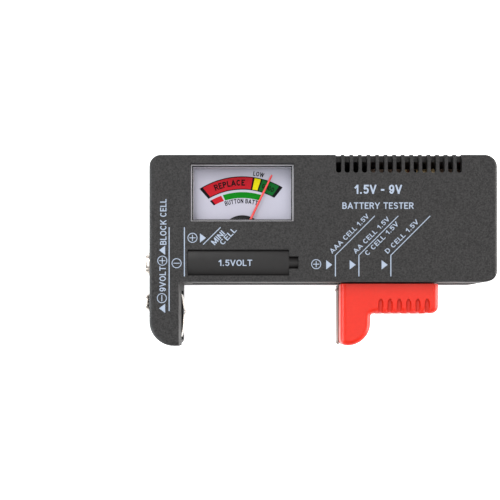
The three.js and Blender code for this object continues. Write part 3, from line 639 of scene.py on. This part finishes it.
def relief_cell():
    """The moulded picture of a cell in the pocket: a low arched body and its terminal nub."""
    floor = FACE - RELIEF_DEPTH
    gap, sunk = 0.12, 0.15
    parts = []
    nub_end, nub_low, nub_high = RELIEF_NUB
    for x0, x1, y0, y1 in (RELIEF, (RELIEF[1] - 1, nub_end, nub_low, nub_high)):
        rise = RELIEF_DEPTH - 0.08
        half = (y1 - y0) / 2 - gap
        radius = (half ** 2 + rise ** 2) / (2 * rise)
        reach = math.asin(half / radius)
        steps = 28
        arch = []
        for k in range(steps + 1):
            angle = reach * (1 - 2 * k / steps)
            drop = radius * (1 - math.cos(angle))
            arch.append(((y0 + y1) / 2 + radius * math.sin(angle), floor + rise - drop))
        arch += [(arch[-1][0], floor - sunk), (arch[0][0], floor - sunk)]
        parts.append(loft([[(x, y, z) for y, z in arch] for x in (x0 + gap, x1 - gap)]))
    cell = new_object("relief_cell", parts[0])
    join(cell, parts[1])
    finish_piece(cell, "case", [CASE_GLOSSY], bevel=0.1)


# -------- lettering and marks

INK_THICK = 0.03
INK_SINK = 0.01


def arc(x, y, across, up, start, end):
    """Points along an ellipse from start to end degrees."""
    steps = max(4, round(abs(end - start) / 16))
    turns = [math.radians(start + (end - start) * k / steps) for k in range(steps + 1)]
    return [(x + across * math.cos(t), y + up * math.sin(t)) for t in turns]


# Each letter's width between the middles of its outer strokes, in cap heights, and its strokes
# in a box from 0 to 1 both ways.
STEM = [(0, 0), (0, 1)]
FAR_STEM = [(1, 0), (1, 1)]
BOWL = [(0, 1), *arc(0.5, 0.745, 0.5, 0.255, 90, -90), (0, 0.49)]
GLYPHS = {
    "A": (0.62, [[(0, 0), (0.5, 1)], [(1, 0), (0.5, 1)], [(0.14, 0.27), (0.86, 0.27)]]),
    "B": (0.47, [STEM, [(0, 1), *arc(0.52, 0.77, 0.4, 0.23, 90, -90), (0, 0.54)],
                 [(0, 0.54), *arc(0.55, 0.27, 0.45, 0.27, 90, -90), (0, 0)]]),
    "C": (0.55, [arc(0.5, 0.5, 0.5, 0.5, 42, 318)]),
    "D": (0.52, [STEM, [(0, 1), *arc(0.4, 0.5, 0.6, 0.5, 90, -90), (0, 0)]]),
    "E": (0.42, [STEM, [(0, 1), (1, 1)], [(0, 0.53), (0.94, 0.53)], [(0, 0), (1, 0)]]),
    "G": (0.56, [[*arc(0.5, 0.5, 0.5, 0.5, 42, 306), (0.99, 0.19), (0.99, 0.44)],
                 [(0.55, 0.44), (1, 0.44)]]),
    "I": (0.0, [STEM]),
    "K": (0.5, [STEM, [(0, 0.32), (1, 1)], [(0.38, 0.58), (1, 0)]]),
    "L": (0.38, [STEM, [(0, 0), (1, 0)]]),
    "M": (0.62, [STEM, FAR_STEM, [(0.03, 1), (0.5, 0)], [(0.97, 1), (0.5, 0)]]),
    "N": (0.5, [STEM, FAR_STEM, [(0.04, 1), (0.96, 0)]]),
    "O": (0.6, [arc(0.5, 0.5, 0.5, 0.5, 0, 360)]),
    "P": (0.44, [STEM, BOWL]),
    "R": (0.48, [STEM, BOWL, [(0.5, 0.49), (1, 0)]]),
    "S": (0.45, [[*arc(0.5, 0.76, 0.47, 0.24, 22, 270), *arc(0.5, 0.26, 0.5, 0.26, 90, -158)[1:]]]),
    "T": (0.5, [[(0, 1), (1, 1)], [(0.5, 0), (0.5, 1)]]),
    "U": (0.5, [[(0, 1), *arc(0.5, 0.36, 0.5, 0.36, 180, 360), (1, 1)]]),
    "V": (0.56, [[(0, 1), (0.5, 0)], [(1, 1), (0.5, 0)]]),
    "W": (0.86, [[(0, 1), (0.25, 0)], [(0.5, 1), (0.25, 0)], [(0.5, 1), (0.75, 0)], [(1, 1), (0.75, 0)]]),
    "Y": (0.56, [[(0, 1), (0.5, 0.44)], [(1, 1), (0.5, 0.44)], [(0.5, 0), (0.5, 0.5)]]),
    "1": (0.24, [FAR_STEM, [(0, 0.72), (0.9, 1)]]),
    "5": (0.42, [[(0.14, 1), (1, 1)], [(0.16, 1), (0.06, 0.5)], arc(0.47, 0.32, 0.53, 0.32, 148, -158)]),
    "9": (0.43, [arc(0.5, 0.69, 0.5, 0.31, 0, 360), arc(0.5, 0.5, 0.5, 0.5, 22, -150)]),
    ".": (0.14, [[(0.5, 0), (0.5, 0.12)]]),
    "-": (0.2, [[(0, 0.42), (1, 0.42)]]),
}
SPACE = 0.4
BETWEEN = 0.12
WEIGHT = 0.15
TITLE_WEIGHT = 0.19
finished_glyphs = {}


def ribbon(points, wide, weight):
    """One stroke of a letter. Its ends run on by half its weight where they meet the letter's box."""
    closed = (Vector(points[0]) - Vector(points[-1])).length < 1e-6
    edges = [not closed and (min(p) == 0 or max(p) == 1) for p in (points[0], points[-1])]
    corners = points[:-1] if closed else points
    line = [Vector((x * wide, weight / 2 + y * (1 - weight))) for x, y in corners]
    if edges[0]:
        line[0] += (line[0] - line[1]).normalized() * weight / 2
    if edges[1]:
        line[-1] += (line[-1] - line[-2]).normalized() * weight / 2
    rings = []
    for i, here in enumerate(line):
        before = line[i - 1] if closed or i else here
        after = line[(i + 1) % len(line)] if closed or i + 1 < len(line) else here
        along = (after - before).normalized()
        side = Vector((-along.y, along.x)) * weight / 2
        a, b = here - side, here + side
        rings.append([(a.x, a.y, -0.5), (b.x, b.y, -0.5), (b.x, b.y, 0.5), (a.x, a.y, 0.5)])
    return loft(rings, closed)


def glyph(letter, weight):
    """A letter's solid, one cap height tall, with the middle of its left stroke at x = 0."""
    key = (letter, weight)
    if key not in finished_glyphs:
        wide, lines = GLYPHS[letter]
        shape = new_object("glyph", ribbon(lines[0], wide, weight))
        join(shape, *[ribbon(line, wide, weight) for line in lines[1:]])
        combine(shape, "INTERSECT", block(-1, 2, 0, 1, -1, 1))
        finished_glyphs[key] = shape.data
        bpy.data.objects.remove(shape)
    sign = bmesh.new()
    sign.from_mesh(finished_glyphs[key])
    return sign


def glyph_places(text, weight):
    """How far along each letter starts, in cap heights, and where the last one ends."""
    places, end = [], 0
    for letter in text:
        places.append(end + weight / 2)
        end += SPACE if letter == " " else GLYPHS[letter][0] + weight + BETWEEN
    return places, end - BETWEEN


def letters(text, height, width, weight=WEIGHT):
    """Lettering as a thin solid, its lower left corner at the origin, height tall and width long."""
    places, end = glyph_places(text, weight)
    line = merged([at(glyph(letter, weight), place, 0, 0)
                   for letter, place in zip(text, places) if letter != " "])
    line.transform(Matrix.Diagonal((width / end, height, INK_THICK, 1)))
    return line


def turned(degrees):
    return Matrix.Rotation(math.radians(degrees), 4, "Z")


def flat(points, z):
    """A thin solid with a straight-sided outline."""
    return slab([(x, y, 0) for x, y in points], z - INK_THICK / 2, z + INK_THICK / 2)


def bar(start, end, width, z):
    """A printed line from start to end."""
    a, b = Vector(start), Vector(end)
    side = Vector((a.y - b.y, b.x - a.x)).normalized() * width / 2
    return flat([a + side, b + side, b - side, a - side], z)


def ringed_sign(x, y, z, sign):
    """A ring round a plus, a minus, or a minus that stands upright, written |."""
    outer, inner, reach, thick = 1.56, 1.32, 0.98, 0.25
    low, high = z - INK_THICK / 2, z + INK_THICK / 2
    ring = lathe([(inner, low), (outer, low), (outer, high), (inner, high)], 40, closed=True)
    signs = [at(ring, x, y, 0)]
    half = thick / 2
    if sign == "+":
        cross = []
        corner = [(-half, -reach), (half, -reach), (half, -half)]
        for _ in range(4):
            cross += corner
            corner = [(-dy, dx) for dx, dy in corner]
        signs.append(flat([(x + dx, y + dy) for dx, dy in cross], z))
    elif sign == "|":
        signs.append(bar((x, y - reach), (x, y + reach), thick, z))
    else:
        signs.append(bar((x - reach, y), (x + reach, y), thick, z))
    return signs


def arrow(x, y, z, points_left=False):
    """A solid arrowhead, its middle at x, y."""
    way = -1 if points_left else 1
    half_long, half_tall = 0.95, 1.45
    tail, tip = x - way * half_long, x + way * half_long
    return flat([(tail, y - half_tall), (tip, y), (tail, y + half_tall)], z)


def case_markings():
    """All that is printed on the case, in one piece."""
    z = FACE + INK_THICK / 2 - INK_SINK
    line = 0.31
    column = LEFT + 4.45
    line_end = TOP - 23.1
    first_line, second_line = LEFT + 6.4, LEFT + 11.2

    # The 9 V column, which reads upwards, the button and round cells' words, and the titles
    words = [
        ("9VOLT", 2.0, 7.9, column + 0.9, LEG_END + 17.2, 90),
        ("BLOCK CELL", 2.0, 14.4, column + 1.1, TOP - 28.6, 90),
        ("MINI", 1.75, 4.9, LEFT + 20.75, TOP - 28.75, 47),
        ("CELL", 1.75, 6.4, LEFT + 23.4, TOP - 28.8, 47),
        ("1.5VOLT", 1.95, 10.6, LEFT + 21.95, TOP - 35.25, 0),
        ("BATTERY TESTER", 2.05, 22.4, 7.15, TOP - 17.3, 0),
    ]
    marks = [at(letters("1.5V - 9V", 2.87, 14.9, TITLE_WEIGHT), 11.0, TOP - 12.56, z)]
    for text, height, width, x, y, degrees in words:
        marks.append(at(letters(text, height, width), x, y, z, turned(degrees)))

    # The column's arrows, signs and lines, then those of the button and round cells
    marks += [arrow(column - 0.25, LEG_END + 11.9, z, True), arrow(column - 0.25, TOP - 30.3, z, True)]
    marks += ringed_sign(column - 0.35, LEG_END + 15.1, z, "|")
    marks += ringed_sign(column - 0.2, TOP - 33.6, z, "+")
    marks.append(bar((first_line, LEG_END + 11.05), (first_line, line_end), line, z))
    marks.append(bar((second_line, BODY_EDGE + 1.7), (second_line, line_end), line, z))
    marks += ringed_sign(LEFT + 8.75, TOP - 34.4, z, "-")
    marks += ringed_sign(LEFT + 13.75, TOP - 26.4, z, "+")
    marks.append(arrow(LEFT + 17.05, TOP - 26.45, z))
    marks.append(bar((LEFT + 17.1, TOP - 28.5), (LEFT + 22.6, line_end), line * 0.85, z))

    # Cell sizes along the jaw's travel
    marks += ringed_sign(JAW_FACE - 8.1, BODY_EDGE + 5.55, z, "+")
    rise, climb, low = 6.65, 12.4, BODY_EDGE + 1.7
    sizes = [(JAW_FACE - 2.05, "AAA CELL 1.5V", None), (JAW_FACE + 5.35, "AA CELL 1.5V", "C CELL 1.5V"),
             (JAW_FACE + 15.4, "D CELL 1.5V", None)]
    for x, above, below in sizes:
        corner = (x, low + rise)
        marks.append(arrow(x - 1.95, BODY_EDGE + 5.35, z))
        marks.append(bar((x, low), (x, low + rise + line * 0.2), line, z))
        marks.append(bar(corner, (x + climb, low + rise + climb), line * 0.8, z))
        for text, across, up in ((above, -0.95, 0.45), (below, 2.75, -0.2)):
            if text:
                word = letters(text, 1.5, 1.27 * len(text))
                marks.append(at(word, x + across, low + rise + up, z, turned(45)))
    obj = new_object("case_markings", merged(marks))
    finish_piece(obj, "case", [CASE_INK])


# -------- meter


def on_arc(radius, degrees):
    """A point of an arc about the centre of the dial's rings, degrees to the right of straight up."""
    angle = math.radians(degrees)
    return ARC_CENTRE.x + radius * math.sin(angle), ARC_CENTRE.y + radius * math.cos(angle)


def on_reading(radius, degrees):
    """Where the pointer's line at a reading crosses the ring of that radius."""
    angle = math.radians(degrees)
    rise = PIVOT.y - ARC_CENTRE.y
    across = rise * math.cos(angle)
    reach = math.sqrt(across ** 2 + radius ** 2 - rise ** 2) - across
    return PIVOT.x + reach * math.sin(angle), PIVOT.y + reach * math.cos(angle)


def band(r0, r1, start, end, z):
    """A printed part of a ring between two readings."""
    steps = max(2, round((end - start) / 1.5))
    turns = [start + (end - start) * k / steps for k in range(steps + 1)]
    inner = [on_reading(r0, t) for t in turns]
    outer = [on_reading(r1, t) for t in reversed(turns)]
    return flat(inner + outer, z)


def curved_words(text, radius, start, end, height, z, weight):
    """Letters set one by one along an arc, their feet on it, from start to end degrees."""
    places, length = glyph_places(text, weight)
    turn = (end - start) / length
    words = []
    for letter, place in zip(text, places):
        if letter == " ":
            continue
        half = GLYPHS[letter][0] / 2
        angle = start + (place + half) * turn
        sign = glyph(letter, weight)
        sign.transform(Matrix.Translation((-half, 0, 0)))
        wide = math.radians(turn) * (radius + height / 2)
        sign.transform(Matrix.Diagonal((wide, height, INK_THICK, 1)))
        words.append(at(sign, *on_arc(radius, angle), z, turned(-angle)))
    return words


# The ring from REPLACE to GOOD, its inside between two black lines, the button cells' ring, and the
# readings between which each colour stands
OUTER_RING = (21.35, 25.65)
RING_EDGE = 0.3
INSIDE = (OUTER_RING[0] + RING_EDGE, OUTER_RING[1] - RING_EDGE)
INNER_RING = (18.65, 20.55)
RING_ENDS = (-41.6, 39.2)
BLACK_PARTS = [(-41.6, -38.7), (10.0, 11.9), (17.9, 19.4), (36, 39.2)]
COLOUR_PARTS = {
    "red": [(INSIDE, -38.7, 10.0), (INNER_RING, -39.6, -27)],
    "yellow": [(INSIDE, 11.9, 17.9)],
    "dark_green": [(INSIDE, 19.4, 36)],
    "green": [(INNER_RING, -25.1, 24.8)],
}


def dial():
    """The card, notched for the movement, and its print with one piece to each colour."""
    plate = new_object("dial_card_plate", block(DIAL_LOW[0], DIAL_HIGH[0], DIAL_LOW[1], DIAL_HIGH[1],
                                                DIAL_LOW[2], DIAL))
    cut(plate, block(PIVOT.x - 7, PIVOT.x + 7, DIAL_LOW[1] - 1, PIVOT.y + 3, DIAL_LOW[2] - 1, DIAL + 1))
    finish_piece(plate, "case", [DIAL_CARD], ["dial_plate"], 0.08)

    ink = DIAL + INK_THICK / 2 - INK_SINK
    over = ink + INK_THICK
    low, high = OUTER_RING
    outline = new_object("dial_print_black", band(INSIDE[1], high, *RING_ENDS, ink))
    join(outline, band(low, INSIDE[0], *RING_ENDS, ink))
    join(outline, *[band(low + 0.1, high - 0.1, start, end, ink) for start, end in BLACK_PARTS])
    join(outline, band(*INNER_RING, -42, -39.6, ink))
    words = curved_words("REPLACE", 22.65, -22.4, 2.1, 1.95, over, 0.21)
    words += curved_words("GOOD", 22.7, 15.8, 25.8, 1.5, over, 0.2)
    words += curved_words("LOW", 26.1, 7.6, 15.1, 1.5, ink, 0.19)
    words += curved_words("BUTTON BATT", 16.95, -18.5, 16.3, 1.48, ink, 0.19)
    words.append(block(PIVOT.x - 6.5, PIVOT.x + 6.5, WINDOW[2] + RIM - 0.2, WINDOW[2] + RIM + 0.35,
                       DIAL - INK_SINK, DIAL + 0.02))
    join(outline, merged(words))
    finish_piece(outline, "case", [DIAL_INKS["black"]])
    for name, parts in COLOUR_PARTS.items():
        bands = [band(*ring, start, end, ink) for ring, start, end in parts]
        layer = new_object(f"dial_print_{name}", bands[0])
        join(layer, *bands[1:])
        finish_piece(layer, "case", [DIAL_INKS[name]])


def shield():
    """The black dome in front of the dial's notch."""
    radius = SHIELD_RADIUS
    top = SHIELD_TOP + 0.15
    profile = [(0, DIAL + 0.3), (radius, DIAL + 0.3), (radius, DIAL + 0.38), (radius - 0.12, DIAL + 0.5),
               (radius - 0.7, top - 0.06), (radius - 1.6, top), (0, top)]
    dome = new_object("shield_dome", at(lathe(profile, 128), PIVOT.x, PIVOT.y, 0))
    kept = block(PIVOT.x - 10, PIVOT.x + 10, PIVOT.y + 2.2, PIVOT.y + 10, DIAL, DIAL + 3)
    combine(dome, "INTERSECT", kept)
    finish_piece(dome, "case", [BLACK_PLASTIC], ["dial_shield"], 0.05)


def needle():
    """A flattened bar on a round hub, turned to its reading at rest."""
    sections = [(-4.6, 0.42), (-1.8, 0.42), (0, 0.4), (2, 0.38),
                (NEEDLE_LENGTH - 0.6, 0.31), (NEEDLE_LENGTH, 0.2)]
    sides = 12
    rings = []
    for y, half in sections:
        turns = [2 * math.pi * k / sides for k in range(sides)]
        rings.append([(half * math.cos(t), y, 0.19 * math.sin(t)) for t in turns])
    arm = new_object("needle", loft(rings))
    hub = [(0, -0.2), (1.5, -0.2), (1.6, -0.1), (1.6, 0.1), (1.5, 0.2), (0, 0.2)]
    join(arm, lathe(hub, 40))
    cut(arm, rod(0, 0, -1, 1, 0.8, 32))
    arm.data.transform(Matrix.Translation((PIVOT.x, PIVOT.y, NEEDLE_Z)) @ turned(NEEDLE_REST))
    finish_piece(arm, "movement", [NEEDLE_PAINT], ["pointer"])


def cover():
    """Clear plate in the window with a stepped rim, and the skirt that stands on the dial's box."""
    x0, x1, y0, y1 = WINDOW

    def frame_ring(inset, z):
        return [(x0 + inset, y0 + inset, z), (x1 - inset, y0 + inset, z),
                (x1 - inset, y1 - inset, z), (x0 + inset, y1 - inset, z)]

    front = COVER_FRONT
    seat = front - 0.5
    groove = (0.5, 0.78)
    profile = [(0.05, COVER_BACK), (0.05, front + 0.05), (0.12, front + 0.16),
               (groove[0] - 0.04, front + 0.16), (groove[0], seat), (groove[1], seat),
               (groove[1] + 0.02, front - 0.05), (RIM, front - 0.05), (RIM, COVER_BACK)]
    rim = new_object("cover_rim", loft([frame_ring(*step) for step in profile], closed=True))
    finish_piece(rim, "case", [CLEAR_EDGE, COVER_GROOVE_SHADE], bevel=0.02, sharp=25)
    # Faces in the groove take the second material, the painted shade of the groove.
    for face in rim.data.polygons:
        x, y, z = face.center / MM
        inset = min(x - x0, x1 - x, y - y0, y1 - y)
        if z > COVER_BACK + 0.01 and groove[0] - 0.03 < inset < groove[1] + 0.015:
            face.material_index = 1
    edge = RIM + 0.02
    plate = block(x0 + edge, x1 - edge, y0 + edge, y1 - edge, front - 0.9, front - 0.05)
    pane = new_object("cover_pane", plate)
    finish_piece(pane, "case", [CLEAR], ["window_cover"])


# -------- sliding jaw


def jaw():
    """Grip with its finger, grooves on both faces, and the neck and foot that hold it in the slot."""
    beyond = 3.0
    corners = [
        (JAW_FACE, JAW_TOP + beyond, 0), (JAW_FACE, JAW_FLOOR, 2.1), (FINGER_END, JAW_FLOOR, 7.3),
        (FINGER_END, GRIP_EDGE, 1.1), (JAW_END, GRIP_EDGE, 2.2), (JAW_END, JAW_TOP + beyond, 0),
    ]
    grip = new_object("jaw_body", slab(corners, JAW_BACK, JAW_FRONT, JAW_FILLET, JAW_FILLET, 14, 8))
    for vertex in grip.data.vertices:
        vertex.co.y = min(vertex.co.y, JAW_TOP)
        share = (FINGER_END - vertex.co.x) / (FINGER_END - JAW_FACE)
        if share > 0 and vertex.co.z < SEAM:
            vertex.co.x += JAW_DRAFT * share * (SEAM - vertex.co.z)

    middles = [GROOVE_FIRST + i * GROOVE_PITCH for i in range(GROOVES)]
    pointed = [(GRIP_EDGE - 2, 1.06), (GRIP_EDGE, 1.0), (GROOVE_TOP - 1.4, 0.86), (GROOVE_TOP - 0.8, 0.72),
               (GROOVE_TOP - 0.4, 0.52), (GROOVE_TOP - 0.1, 0.3), (GROOVE_TOP, 0.1)]
    steps = 10
    for surface, side in ((JAW_FRONT, 1), (JAW_BACK, -1)):
        scoops = []
        for x in middles:
            rings = []
            for y, share in pointed:
                wide = GROOVE_HALF * share
                deep = GROOVE_DEPTH * min(1, share) ** 0.5
                ring = []
                for k in range(steps + 1):
                    t = math.pi * k / steps
                    ring.append((x - wide * math.cos(t), y, surface - side * deep * math.sin(t) ** 0.35))
                rings.append(ring + [(x + wide, y, surface + side), (x - wide, y, surface + side)])
            scoops.append(loft(rings))
        cut(grip, merged(scoops))
    radius = (GROOVE_HALF ** 2 + GROOVE_DEPTH ** 2) / (2 * GROOVE_DEPTH)
    flute_y = GRIP_EDGE + 0.36 - radius
    cut(grip, merged([rod(x, flute_y, JAW_BACK - 1, JAW_FRONT + 1, radius, 40) for x in middles]))

    root = JAW_TOP - NECK_SUNK
    join(grip, block(NECK[0], COLLAR_END, root, BODY_EDGE + 1, NECK[2], NECK[3]))
    join(grip, block(NECK[0], NECK[1], root, FOOT_TOP - 0.8, NECK[2], NECK[3]))
    join(grip, block(NECK[0], NECK[1], FOOT_TOP - FOOT_THICK, FOOT_TOP, SEAM - FOOT_HALF, SEAM + FOOT_HALF))
    cut(grip, block(JAW_FACE - 1, JAW_FACE + 0.55, JAW_FLOOR - 1, JAW_TOP + 1,
                    CONTACT_Z[0] - CONTACT_ROOM, CONTACT_Z[1] + CONTACT_ROOM))
    finish_piece(grip, "jaw", [JAW_PLASTIC], ["slider_grip"], 0.16)


def jaw_contact():
    """Nickel strip down the clamping face, with a pip near its top and a hook at its foot."""
    x = JAW_FACE + 0.1
    shape = [(0, JAW_TOP - 0.1), (0, JAW_TOP - 0.9), (-0.32, JAW_TOP - 1.5), (0, JAW_TOP - 2.1),
             (0, JAW_TOP - 4), (0, JAW_FLOOR + 4), (0, JAW_FLOOR + 1.6), (-0.1, JAW_FLOOR + 0.7),
             (0.18, JAW_FLOOR + 0.25)]
    line = smooth_line([(x + out, y) for out, y in shape])
    face = new_object("jaw_contact_strip", strip(line, CONTACT_THICK, *CONTACT_Z))
    join(face, block(x - 0.14, x + 0.14, JAW_TOP - 0.6, FOOT_TOP, TONGUE_Z - 1.1, TONGUE_Z + 1.1))
    cut(face, rod_x(x - 1, x + 1, FOOT_TOP - 0.95, TONGUE_Z, 0.7, 24))
    # The strip's dark nickel is painted shade.
    finish_piece(face, "jaw", [SHADED_NICKEL], ["slider_contact"], 0.05)


def leg_leaf():
    """Bowed leaf in the leg's slot, its hooked ends inside and a pip above its middle."""
    y0, y1 = LEAF_SPAN
    pip = LEG_END + 11
    shape = [(-2.5, y0 + 0.6), (-0.9, y0 + 0.1), (-0.2, y0 + 0.7), (0.35, y0 + 3), (0.6, pip - 2),
             (0.72, pip - 1.2), (0.86, pip - 0.7), (1.22, pip), (0.86, pip + 0.7), (0.7, pip + 1.2),
             (0.55, pip + 2), (0.2, y1 - 1.8), (-0.25, y1 - 0.6), (-0.9, y1 - 0.1), (-2.5, y1 - 0.6)]
    line = smooth_line([(LEG_FACE + out, y) for out, y in shape])
    leaf = new_object("leg_leaf_strip", strip(line, CONTACT_THICK, *CONTACT_Z))
    finish_piece(leaf, "leg_leaf", [NICKEL], ["leg_contact"], 0.05)


# -------- snaps


def snaps():
    """Socket above, with six springing petals, and stud below."""
    flange = SNAP_BACK - SNAP_X
    petals = [(2.75, 0.25), (2.95, 0), (3.35, 0), (3.62, 0.25), (3.75, 0.9), (3.55, 1.7), (3.6, 2.1),
              (4.1, 2.4), (4.1, flange), (1.4, flange), (1.4, 2.9), (2.9, 2.8), (2.95, 1.9), (3.1, 1.0),
              (2.9, 0.5)]
    place = (SNAP_X, SNAP_MID + SNAP_PITCH / 2, SEAM, ALONG_X)
    socket = new_object("snap_socket", at(lathe(petals, 72, closed=True), *place))
    slits = []
    for k in range(6):
        slit = block(1.9, 5, -0.22, 0.22, -1, 2.0)
        slit.transform(turned(60 * k + 30))
        slits.append(at(slit, *place))
    cut(socket, *slits)
    finish_piece(socket, "case", [NICKEL], ["female_snap"], 0.07)

    stud = [(0, 0.12), (1.0, 0.1), (2.2, 0), (2.6, 0.08), (2.82, 0.32), (2.85, 0.75), (2.7, 1.15),
            (2.5, 1.5), (2.5, 2.1), (2.65, 2.4), (4.0, 2.55), (4.1, 2.7), (4.1, flange), (1.4, flange),
            (1.4, 2.9), (0, 2.9)]
    ball = new_object("snap_stud", at(lathe(stud, 64), SNAP_X, SNAP_MID - SNAP_PITCH / 2, SEAM, ALONG_X))
    finish_piece(ball, "case", [NICKEL], ["male_snap"], 0.06)


# -------- CAD nodes that stay


def cad_finishes():
    """Materials and softened edges for the pieces whose CAD shape is right."""
    black, red, yellow = srgb(22, 22, 24), srgb(178, 28, 22), srgb(206, 168, 40)
    brown, gold = srgb(92, 50, 26), srgb(170, 128, 40)
    insulation = (1.5, 0.92, 1.06, 1.5, 0.02)
    resistors = {
        "load_resistor": (33, 12, [brown, black, black, gold]),
        "range_resistor_1": (32, 6.5, [red, red, brown, gold]),
        "range_resistor_2": (34, 6.5, [yellow, srgb(96, 40, 120), brown, gold]),
    }
    groups = {
        STEEL: ["case_screw_1", "case_screw_2", "case_screw_3", "pivot_front", "pivot_rear", "yoke_ring",
                "board_screw_1", "board_screw_2", "wiper_rivet"],
        BRASS: ["balance_weight", "core_spacer_1", "core_spacer_2", "front_bridge", "rear_bridge",
                "jewel_screw_front", "jewel_screw_rear", "hairspring_front", "hairspring_rear",
                "slider_wiper", "contact_rail"],
        NICKEL: ["meter_lug_negative", "meter_lug_positive", "snap_rivet_upper", "snap_rivet_lower"],
        BLACK_PLASTIC: ["meter_base"],
        MAGNET: ["core_magnet"],
        copper_winding(): ["moving_coil"],
        paper_board(): ["circuit_board", "snap_plate"],
        smooth_coat("wire_black", black, *insulation): [
            "wire_leg_negative", "wire_snap_link", "wire_board_negative"],
        smooth_coat("wire_red", red, *insulation): ["wire_snap_positive", "wire_rail_positive"],
        smooth_coat("wire_yellow", yellow, *insulation): ["wire_meter_positive"],
    }
    for name, (middle, span, bands) in resistors.items():
        groups[resistor_body(f"{name}_body", middle, span, bands)] = [name]
    for material, names in groups.items():
        for name in names:
            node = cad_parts[name]
            node.data.materials.clear()
            node.data.materials.append(material)
            soften(node, 0.06, 40)


# -------- studio


def area_light(name, place, size, watts, colour=(1, 1, 1)):
    """A soft square lamp that looks at the tester's middle."""
    lamp = bpy.data.lights.new(name, "AREA")
    lamp.size = size
    lamp.energy = watts
    lamp.color = colour
    obj = placed(name, lamp)
    obj.location = place
    obj.rotation_euler = (-Vector(place)).to_track_quat("-Z", "Y").to_euler()


def studio():
    """White surroundings, four lamps, and a floor that looks white to the camera and in reflections."""
    scene = bpy.context.scene
    scene.view_settings.view_transform = "Standard"
    world = bpy.data.worlds.new("studio")
    scene.world = world
    world.use_nodes = True
    backdrop = world.node_tree.nodes["Background"]
    backdrop.inputs["Color"].default_value = (1, 1, 1, 1)
    path = world.node_tree.nodes.new("ShaderNodeLightPath")
    strength = world.node_tree.nodes.new("ShaderNodeMapRange")
    strength.inputs["To Min"].default_value = 0.5
    strength.inputs["To Max"].default_value = 1.0
    world.node_tree.links.new(path.outputs["Is Camera Ray"], strength.inputs["Value"])
    world.node_tree.links.new(strength.outputs["Result"], backdrop.inputs["Strength"])
    area_light("overhead", (0.10, -0.05, 0.90), 0.9, 4.2)
    area_light("key", (-0.25, 0.42, 0.55), 0.40, 2.8)
    area_light("right", (0.60, -0.04, 0.09), 0.40, 7.0, (1.0, 0.97, 0.95))
    area_light("left", (-0.60, -0.14, 0.09), 0.40, 7.0, (0.88, 0.96, 1.0))

    floor = new_object("floor", block(-2000, 2000, -2000, 2000, -2, -0.02))
    floor.data.transform(Matrix.Scale(MM, 4))
    paper = Finish("floor_paper", (0.9, 0.9, 0.9, 1), 0.8, Emission_Color=(1, 1, 1, 1))
    seen = paper.add("LightPath", {}).outputs
    rays = {0: seen["Is Camera Ray"], 1: seen["Is Glossy Ray"]}
    either = paper.add("Math", rays, operation="MAXIMUM")
    glow = paper.add("Math", {0: either.outputs["Value"], 1: 0.8}, operation="MULTIPLY")
    paper.feed(paper.shader, {"Emission Strength": glow.outputs["Value"]})
    floor.data.materials.append(paper.tint(paper.noise(40.0), 0.995, 1.0).material)


def camera():
    """Straight above the face, a little left of and below its middle, and framed by a small shift."""
    data = bpy.data.cameras.new("camera")
    data.lens = 62.2
    data.sensor_width = 36
    data.shift_y = 0.148
    obj = placed("camera", data)
    obj.location = (-21.94 * MM, -23.29 * MM, 297 * MM)
    bpy.context.scene.camera = obj


# -------- build

camera()
front_shell()
back_shell()
relief_cell()
case_markings()
dial()
shield()
needle()
cover()
jaw()
jaw_contact()
leg_leaf()
snaps()
cad_finishes()
studio()
